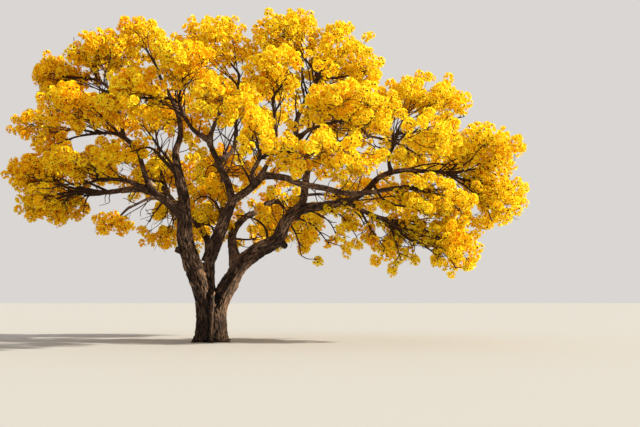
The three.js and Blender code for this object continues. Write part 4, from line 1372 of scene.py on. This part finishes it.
def bark_material(sizes):
    """Bark with a grain along the limb, near black in its fissures and hollows and darker at the foot,
    both as painted shade, with pale patches on its ridges that are partly the bark's own tone and partly
    painted sunlight.
    """
    material, tree = new_material("ipe bark")

    def noise_in(place, scale, detail):
        return add_node(tree, "TexNoise", {"Scale": scale, "Detail": detail}, {"Vector": place})

    def ranged(value, low, high, to=(0, 1)):
        values = {"From Min": low, "From Max": high, "To Min": to[0], "To Max": to[1]}
        return add_node(tree, "MapRange", values, {"Value": value}).outputs["Result"]

    def mixed(values, links, blend="MIX"):
        return add_node(tree, "Mix", values, links, data_type="RGBA", blend_type=blend).outputs["Result"]

    fissures_and_shade = add_node(tree, "Attribute", attribute_name="fissures_and_shade")
    grain = add_node(tree, "Attribute", attribute_name="grain")
    place = add_node(tree, "TexCoord").outputs["Object"]
    stretch = add_node(tree, "Mapping", {"Scale": GRAIN_STRETCH}, {"Vector": grain.outputs["Vector"]})
    streaks = noise_in(stretch.outputs["Vector"], 1, STREAK_DETAIL).outputs["Fac"]
    # Pale patches: partly the bark's own tone, partly painted dappled sunlight.
    pale_and_sunlit_patches = noise_in(place, PATCH_SCALE, PATCH_DETAIL).outputs["Fac"]
    ridges = {"A": (*sizes.ridge_colour, 1), "B": (*sizes.pale_and_sunlit_patch_colour, 1)}
    colour = mixed(ridges, {"Factor": ranged(pale_and_sunlit_patches, *PATCH_RANGE)})
    shades = ranged(streaks, *STREAK_RANGE, STREAK_SHADES)
    colour = mixed({"Factor": STREAK_SHARE}, {"A": colour, "B": shades}, "MULTIPLY")
    # Painted shade: the bark goes near black in its fissures and hollows.
    colour = mixed({"B": (*sizes.fissure_shade_colour, 1)}, {"A": colour, "Factor": fissures_and_shade.outputs["Fac"]})
    # Painted shade: darker towards the trunk's foot.
    height = add_node(tree, "SeparateXYZ", links={"Vector": place}).outputs["Z"]
    foot = ranged(height, *PAINTED_SHADE_FOOT, (sizes.painted_foot_shade, 1))
    colour = mixed({"Factor": 1}, {"A": colour, "B": foot}, "MULTIPLY")
    relief = {"Strength": BUMP_STRENGTH, "Distance": BUMP_HEIGHT}
    bump = add_node(tree, "Bump", relief, {"Height": streaks})
    surface = add_node(
        tree, "BsdfPrincipled", {"Roughness": BARK_ROUGHNESS, "Specular IOR Level": BARK_GLOSS},
        {"Base Color": colour, "Normal": bump.outputs["Normal"]},
    )
    add_node(tree, "OutputMaterial", links={"Surface": surface.outputs[0]})
    return material


def plain_material(name, colour, roughness, glow=0):
    """One plain colour, with a share of the light passing through as through a petal."""
    material, tree = new_material(name)
    values = {"Base Color": (*colour, 1), "Roughness": roughness, "Specular IOR Level": PLAIN_GLOSS}
    surface = add_node(tree, "BsdfPrincipled", values)
    if glow:
        warm = (colour[0], colour[1] * THROUGH_GREEN, colour[2], 1)
        through = add_node(tree, "BsdfTranslucent", {"Color": warm})
        surface = add_node(tree, "MixShader", {0: glow}, {1: surface.outputs[0], 2: through.outputs[0]})
    add_node(tree, "OutputMaterial", links={"Surface": surface.outputs[0]})
    return material


def finish_wood(wood, nodes):
    """Gives the wood its bark and lets it stand for its nodes."""
    wood.data.materials.clear()
    bark = bpy.data.materials.get("ipe bark") or bark_material(bpy.context.scene.ipe_bark)
    wood.data.materials.append(bark)
    place_piece(wood, nodes)


def mass_nodes(names):
    return [f"blossom_{name}" for name in names]


def size_of(name, about, value, low, high):
    return bpy.props.FloatProperty(
        name=name, description=about, default=value, min=low, max=high, precision=4,
        subtype="DISTANCE", unit="LENGTH",
    )


def share_of(name, about, value):
    return bpy.props.FloatProperty(
        name=name, description=about, default=value, min=0, max=1, subtype="FACTOR"
    )


def colour_of(name, about, value):
    return bpy.props.FloatVectorProperty(
        name=name, description=about, default=value, size=3, min=0, max=1, subtype="COLOR"
    )


def strength_of(name, about, value, high):
    return bpy.props.FloatProperty(name=name, description=about, default=value, min=0, max=high)


class IpeBark(bpy.types.PropertyGroup):
    trunk_voxel: size_of("Trunk detail", "Size of the trunk's and great limbs' faces", 0.012, 0.008, 0.05)
    bough_voxel: size_of("Bough detail", "Size of the faces of the boughs", 0.0158, 0.008, 0.05)
    least_ridge: size_of("Least ridge", "Width of the ridges on the thinnest bough", 0.014, 0.005, 0.1)
    most_ridge: size_of("Widest ridge", "Width of the ridges on the trunk", 0.05, 0.01, 0.2)
    fissure_share: share_of("Fissure width", "Share of the bark's ridges that the fissures take", 0.28)
    fissure_depth: share_of("Fissure depth", "Depth of the fissures, as a share of a ridge's width", 0.6)
    lumps: share_of("Lumps", "Height of the lumps on a limb, as a share of its radius", 0.16)
    ridge_colour: colour_of("Ridges", "Colour of the bark's ridges", (0.085, 0.044, 0.027))
    # Partly the bark's own paler tone, partly painted dappled sunlight.
    pale_and_sunlit_patch_colour: colour_of("Patches", "Colour of the paler patches on the ridges", (0.31, 0.19, 0.12))
    # Painted shade, darker at the trunk's foot.
    painted_foot_shade: share_of("Foot shade", "Share of the bark's colour at the trunk's foot", 0.42)
    # Painted shade in the fissures and hollows.
    fissure_shade_colour: colour_of("Fissures", "Colour in the bark's fissures", (0.006, 0.003, 0.002))


class IpeTwigs(bpy.types.PropertyGroup):
    twiglet: size_of("Twiglets", "Radius of a twiglet where it leaves its twig", 0.005, 0.001, 0.02)
    colour: colour_of("Twigs", "Colour of the twigs", (0.05, 0.028, 0.018))


class IpeBlossom(bpy.types.PropertyGroup):
    flowers: bpy.props.IntProperty(
        name="Flowers", description="Flowers in one cluster", default=13, min=6, max=40
    )
    core: size_of("Core", "Radius of a cluster's core, where the flowers stand", 0.036, 0.01, 0.1)
    flower_length: size_of("Flower length", "Length of a trumpet flower", 0.062, 0.02, 0.1)
    throat: size_of("Throat", "Radius of a flower's throat", 0.018, 0.003, 0.03)
    rim: size_of("Rim", "Radius of a flower's open lobes", 0.044, 0.01, 0.06)
    glow: share_of("Glow", "Share of the light that passes through a petal", 0.36)
    # Partly the throat's own deeper colour, partly painted shade inside the funnel.
    tube_tint_and_shade: colour_of("Tube", "Tint of the flowers' tubes over their spray's colour", (0.92, 0.58, 0.34))
    # Partly the calyx's own brown, partly painted shade for the gaps among the flowers.
    calyx_and_gap_shade: colour_of("Calyx", "Colour of the flowers' dark calyxes", (0.22, 0.085, 0.025))
    # Lemon and amber are partly the sprays' own yellows, given by chance, and partly painted light: lemon
    # falls mostly on the sprays to the right and up, towards the sun.
    lemon: colour_of("Lemon", "Colour of the freshest sprays", (1.0, 0.91, 0.026))
    gold: colour_of("Gold", "Colour of most sprays", (1.0, 0.84, 0.018))
    amber: colour_of("Amber", "Colour of the oldest sprays", (1.0, 0.75, 0.012))


class IpeStage(bpy.types.PropertyGroup):
    floor: colour_of("Floor", "Colour of the floor", (0.46, 0.45, 0.43))
    surround: colour_of("Surround", "Colour of the light from all around", (1.0, 0.96, 0.93))
    sun: strength_of("Sun", "Strength of the sun", 7.1, 20)
    lamp: strength_of("Low lamp", "Strength of the lamp that lights the trunk", 75000, 200000)
    surround_strength: strength_of("Surround strength", "Strength of the light from all around", 0.7, 5)


class IPE_OT_stage(bpy.types.Operator):
    """Sets up a pale floor, a low warm sun, a low lamp, pale light from all around and the camera"""

    bl_idname = "ipe.stage"
    bl_label = "Stage"
    bl_options = {"REGISTER", "UNDO"}

    def execute(self, context):
        scene = context.scene
        sizes = scene.ipe_stage
        deselect()
        bpy.ops.mesh.primitive_plane_add(size=FLOOR_SIZE)
        floor = context.object
        floor.name = "floor"
        floor.data.materials.append(plain_material("floor", sizes.floor, DRY_ROUGHNESS))
        world = bpy.data.worlds.new("surround")
        world.use_nodes = True
        background = world.node_tree.nodes["Background"]
        background.inputs["Color"].default_value = (*sizes.surround, 1)
        background.inputs["Strength"].default_value = sizes.surround_strength
        scene.world = world
        bpy.ops.object.light_add(type="SUN", rotation=SUN_TURN)
        sun = context.object
        sun.name = "sun"
        sun.data.energy = sizes.sun
        sun.data.angle = SUN_ANGLE
        sun.data.color = SUN_COLOUR
        bpy.ops.object.light_add(type="SPOT", location=LAMP_PLACE)
        lamp = context.object
        lamp.name = "low lamp"
        lamp.rotation_euler = (Vector(LAMP_AIM) - Vector(LAMP_PLACE)).to_track_quat("-Z", "Y").to_euler()
        lamp.data.energy = sizes.lamp
        lamp.data.shadow_soft_size = LAMP_RADIUS
        lamp.data.spot_size = LAMP_CONE
        lamp.data.spot_blend = 1
        lamp.data.color = LAMP_COLOUR
        bpy.ops.object.camera_add(location=CAMERA_PLACE, rotation=CAMERA_TURN)
        camera = context.object
        camera.data.lens = CAMERA_LENS
        camera.data.sensor_width = CAMERA_SENSOR
        camera.data.dof.use_dof = False
        camera.data.clip_end = FARTHEST_SEEN
        scene.camera = camera
        scene.view_settings.view_transform = "Standard"
        return {"FINISHED"}


class IPE_OT_trunk(bpy.types.Operator):
    """Models the trunk with its flare and stems, and the great limbs, under fissured bark"""

    bl_idname = "ipe.trunk"
    bl_label = "Trunk and great limbs"
    bl_options = {"REGISTER", "UNDO"}

    def execute(self, context):
        sizes = context.scene.ipe_bark
        names = [*FORK_STEMS, *GREAT_LIMBS]
        parts = [model_bole(), *map(model_limb, names), *(model_stub(*stub) for stub in STUBS)]
        wood = join_and_remesh("trunk_bark", parts, sizes.trunk_voxel)
        lay_bark(wood, flutes())
        finish_wood(wood, ["trunk", *GREAT_LIMBS])
        return {"FINISHED"}


class IPE_OT_boughs(bpy.types.Operator):
    """Models the lesser boughs, under finer bark"""

    bl_idname = "ipe.boughs"
    bl_label = "Boughs"
    bl_options = {"REGISTER", "UNDO"}

    def execute(self, context):
        names = [name for name in BOUGHS if name not in GREAT_LIMBS]
        parts = [*map(model_limb, names)]
        wood = join_and_remesh("boughs_bark", parts, context.scene.ipe_bark.bough_voxel)
        lay_bark(wood, [courses()[name] for name in names])
        finish_wood(wood, names)
        return {"FINISHED"}


class IPE_OT_twigs(bpy.types.Operator):
    """Grows the offshoots, stems, twigs and twiglets that bear the blossom"""

    bl_idname = "ipe.twigs"
    bl_label = "Twigs"
    bl_options = {"REGISTER", "UNDO"}

    def execute(self, context):
        sizes = context.scene.ipe_twigs
        stems = np.array([Smooth(mass.stem).spaced(STEM_STEPS) for mass in masses().values()])
        stem_radii = np.tile(np.linspace(STEM_RADIUS, STEM_TIP, STEM_STEPS + 1), (len(stems), 1))
        twigs = np.concatenate([twig_paths(name) for name in BEARERS])
        feet = np.array([twig.radius for name in BEARERS for twig in twigs_of(name)])
        twig_radii = feet[:, None] + (np.minimum(feet, TWIG_TIP) - feet)[:, None] * TWIG_TIMES
        twiglets = np.concatenate([twiglet_paths(name) for name in BEARERS])
        thinning = np.linspace(1, TWIGLET_TIP, len(TWIGLET_TIMES))
        twiglet_radii = np.tile(thinning * sizes.twiglet, (len(twiglets), 1))
        shoots = np.array([shoot.corners for shoot in offshoots().values()])
        shoot_radii = np.array([shoot.radii for shoot in offshoots().values()])
        vertices, faces = [], []
        for paths, radii, sides in (
            (shoots, shoot_radii, STEM_SIDES),
            (stems, stem_radii, STEM_SIDES),
            (twigs, twig_radii, TWIG_SIDES),
            (twiglets, twiglet_radii, TWIGLET_SIDES),
        ):
            start = sum(map(len, vertices))
            some, their_faces = tubes(paths, radii, sides)
            vertices.append(some)
            faces += [[i + start for i in face] for face in their_faces]
        wood = plain_material("ipe twigs", sizes.colour, DRY_ROUGHNESS)
        piece = mesh_piece("twigs", np.concatenate(vertices), faces, [wood])
        place_piece(piece, mass_nodes(MASSES))
        return {"FINISHED"}


class IPE_OT_blossom(bpy.types.Operator):
    """Sets a round cluster of trumpet flowers on each flowering twiglet, in three yellows by spray, the
    palest mostly on the sprays towards the sun as painted light
    """

    bl_idname = "ipe.blossom"
    bl_label = "Blossom"
    bl_options = {"REGISTER", "UNDO"}

    def execute(self, context):
        sizes = context.scene.ipe_blossom
        colours = {"lemon": sizes.lemon, "gold": sizes.gold, "amber": sizes.amber}
        petals = []
        # The tubes' deeper tint is partly their own colour and partly painted shade.
        for part, tint in (("petals", np.ones(3)), ("tubes", np.array(sizes.tube_tint_and_shade))):
            for name, colour in colours.items():
                material = plain_material(f"{part} {name}", tint * colour, PETAL_ROUGHNESS, sizes.glow)
                petals.append(material)
        # Dark calyx: partly its own brown, partly painted shade.
        petals.append(plain_material("calyx_and_gap_shade", sizes.calyx_and_gap_shade, DRY_ROUGHNESS))
        for side, bearers in SIDES.items():
            vertices, faces, slots = flowers_of(bearers, sizes)
            piece = mesh_piece(side, vertices, faces, petals, slots)
            place_piece(piece, mass_nodes(name for name in bearers if name in MASSES))
        return {"FINISHED"}


class IPE_PT_tree(bpy.types.Panel):
    """Lists the steps that build the tree, with their sizes and colours"""

    bl_idname = "IPE_PT_tree"
    bl_label = "Yellow ipe tree"
    bl_space_type = "VIEW_3D"
    bl_region_type = "UI"
    bl_category = "Ipe tree"

    def draw(self, context):
        for group, operators in STEPS:
            box = self.layout.box()
            for operator in operators:
                box.operator(operator.bl_idname)
            sizes = getattr(context.scene, group)
            for key in sizes.__annotations__:
                box.prop(sizes, key)


STEPS = (
    ("ipe_stage", (IPE_OT_stage,)),
    ("ipe_bark", (IPE_OT_trunk, IPE_OT_boughs)),
    ("ipe_twigs", (IPE_OT_twigs,)),
    ("ipe_blossom", (IPE_OT_blossom,)),
)
GROUPS = {"ipe_bark": IpeBark, "ipe_twigs": IpeTwigs, "ipe_blossom": IpeBlossom, "ipe_stage": IpeStage}
CLASSES = (*GROUPS.values(), *(operator for _, operators in STEPS for operator in operators), IPE_PT_tree)


def register():
    for cls in CLASSES:
        bpy.utils.register_class(cls)
    for name, group in GROUPS.items():
        setattr(bpy.types.Scene, name, bpy.props.PointerProperty(type=group))


def unregister():
    for name in GROUPS:
        delattr(bpy.types.Scene, name)
    for cls in reversed(CLASSES):
        bpy.utils.unregister_class(cls)


def main():
    register()
    bpy.ops.ipe.stage()
    bpy.ops.ipe.trunk()
    bpy.ops.ipe.boughs()
    bpy.ops.ipe.twigs()
    bpy.ops.ipe.blossom()


if __name__ == "__main__":
    main()
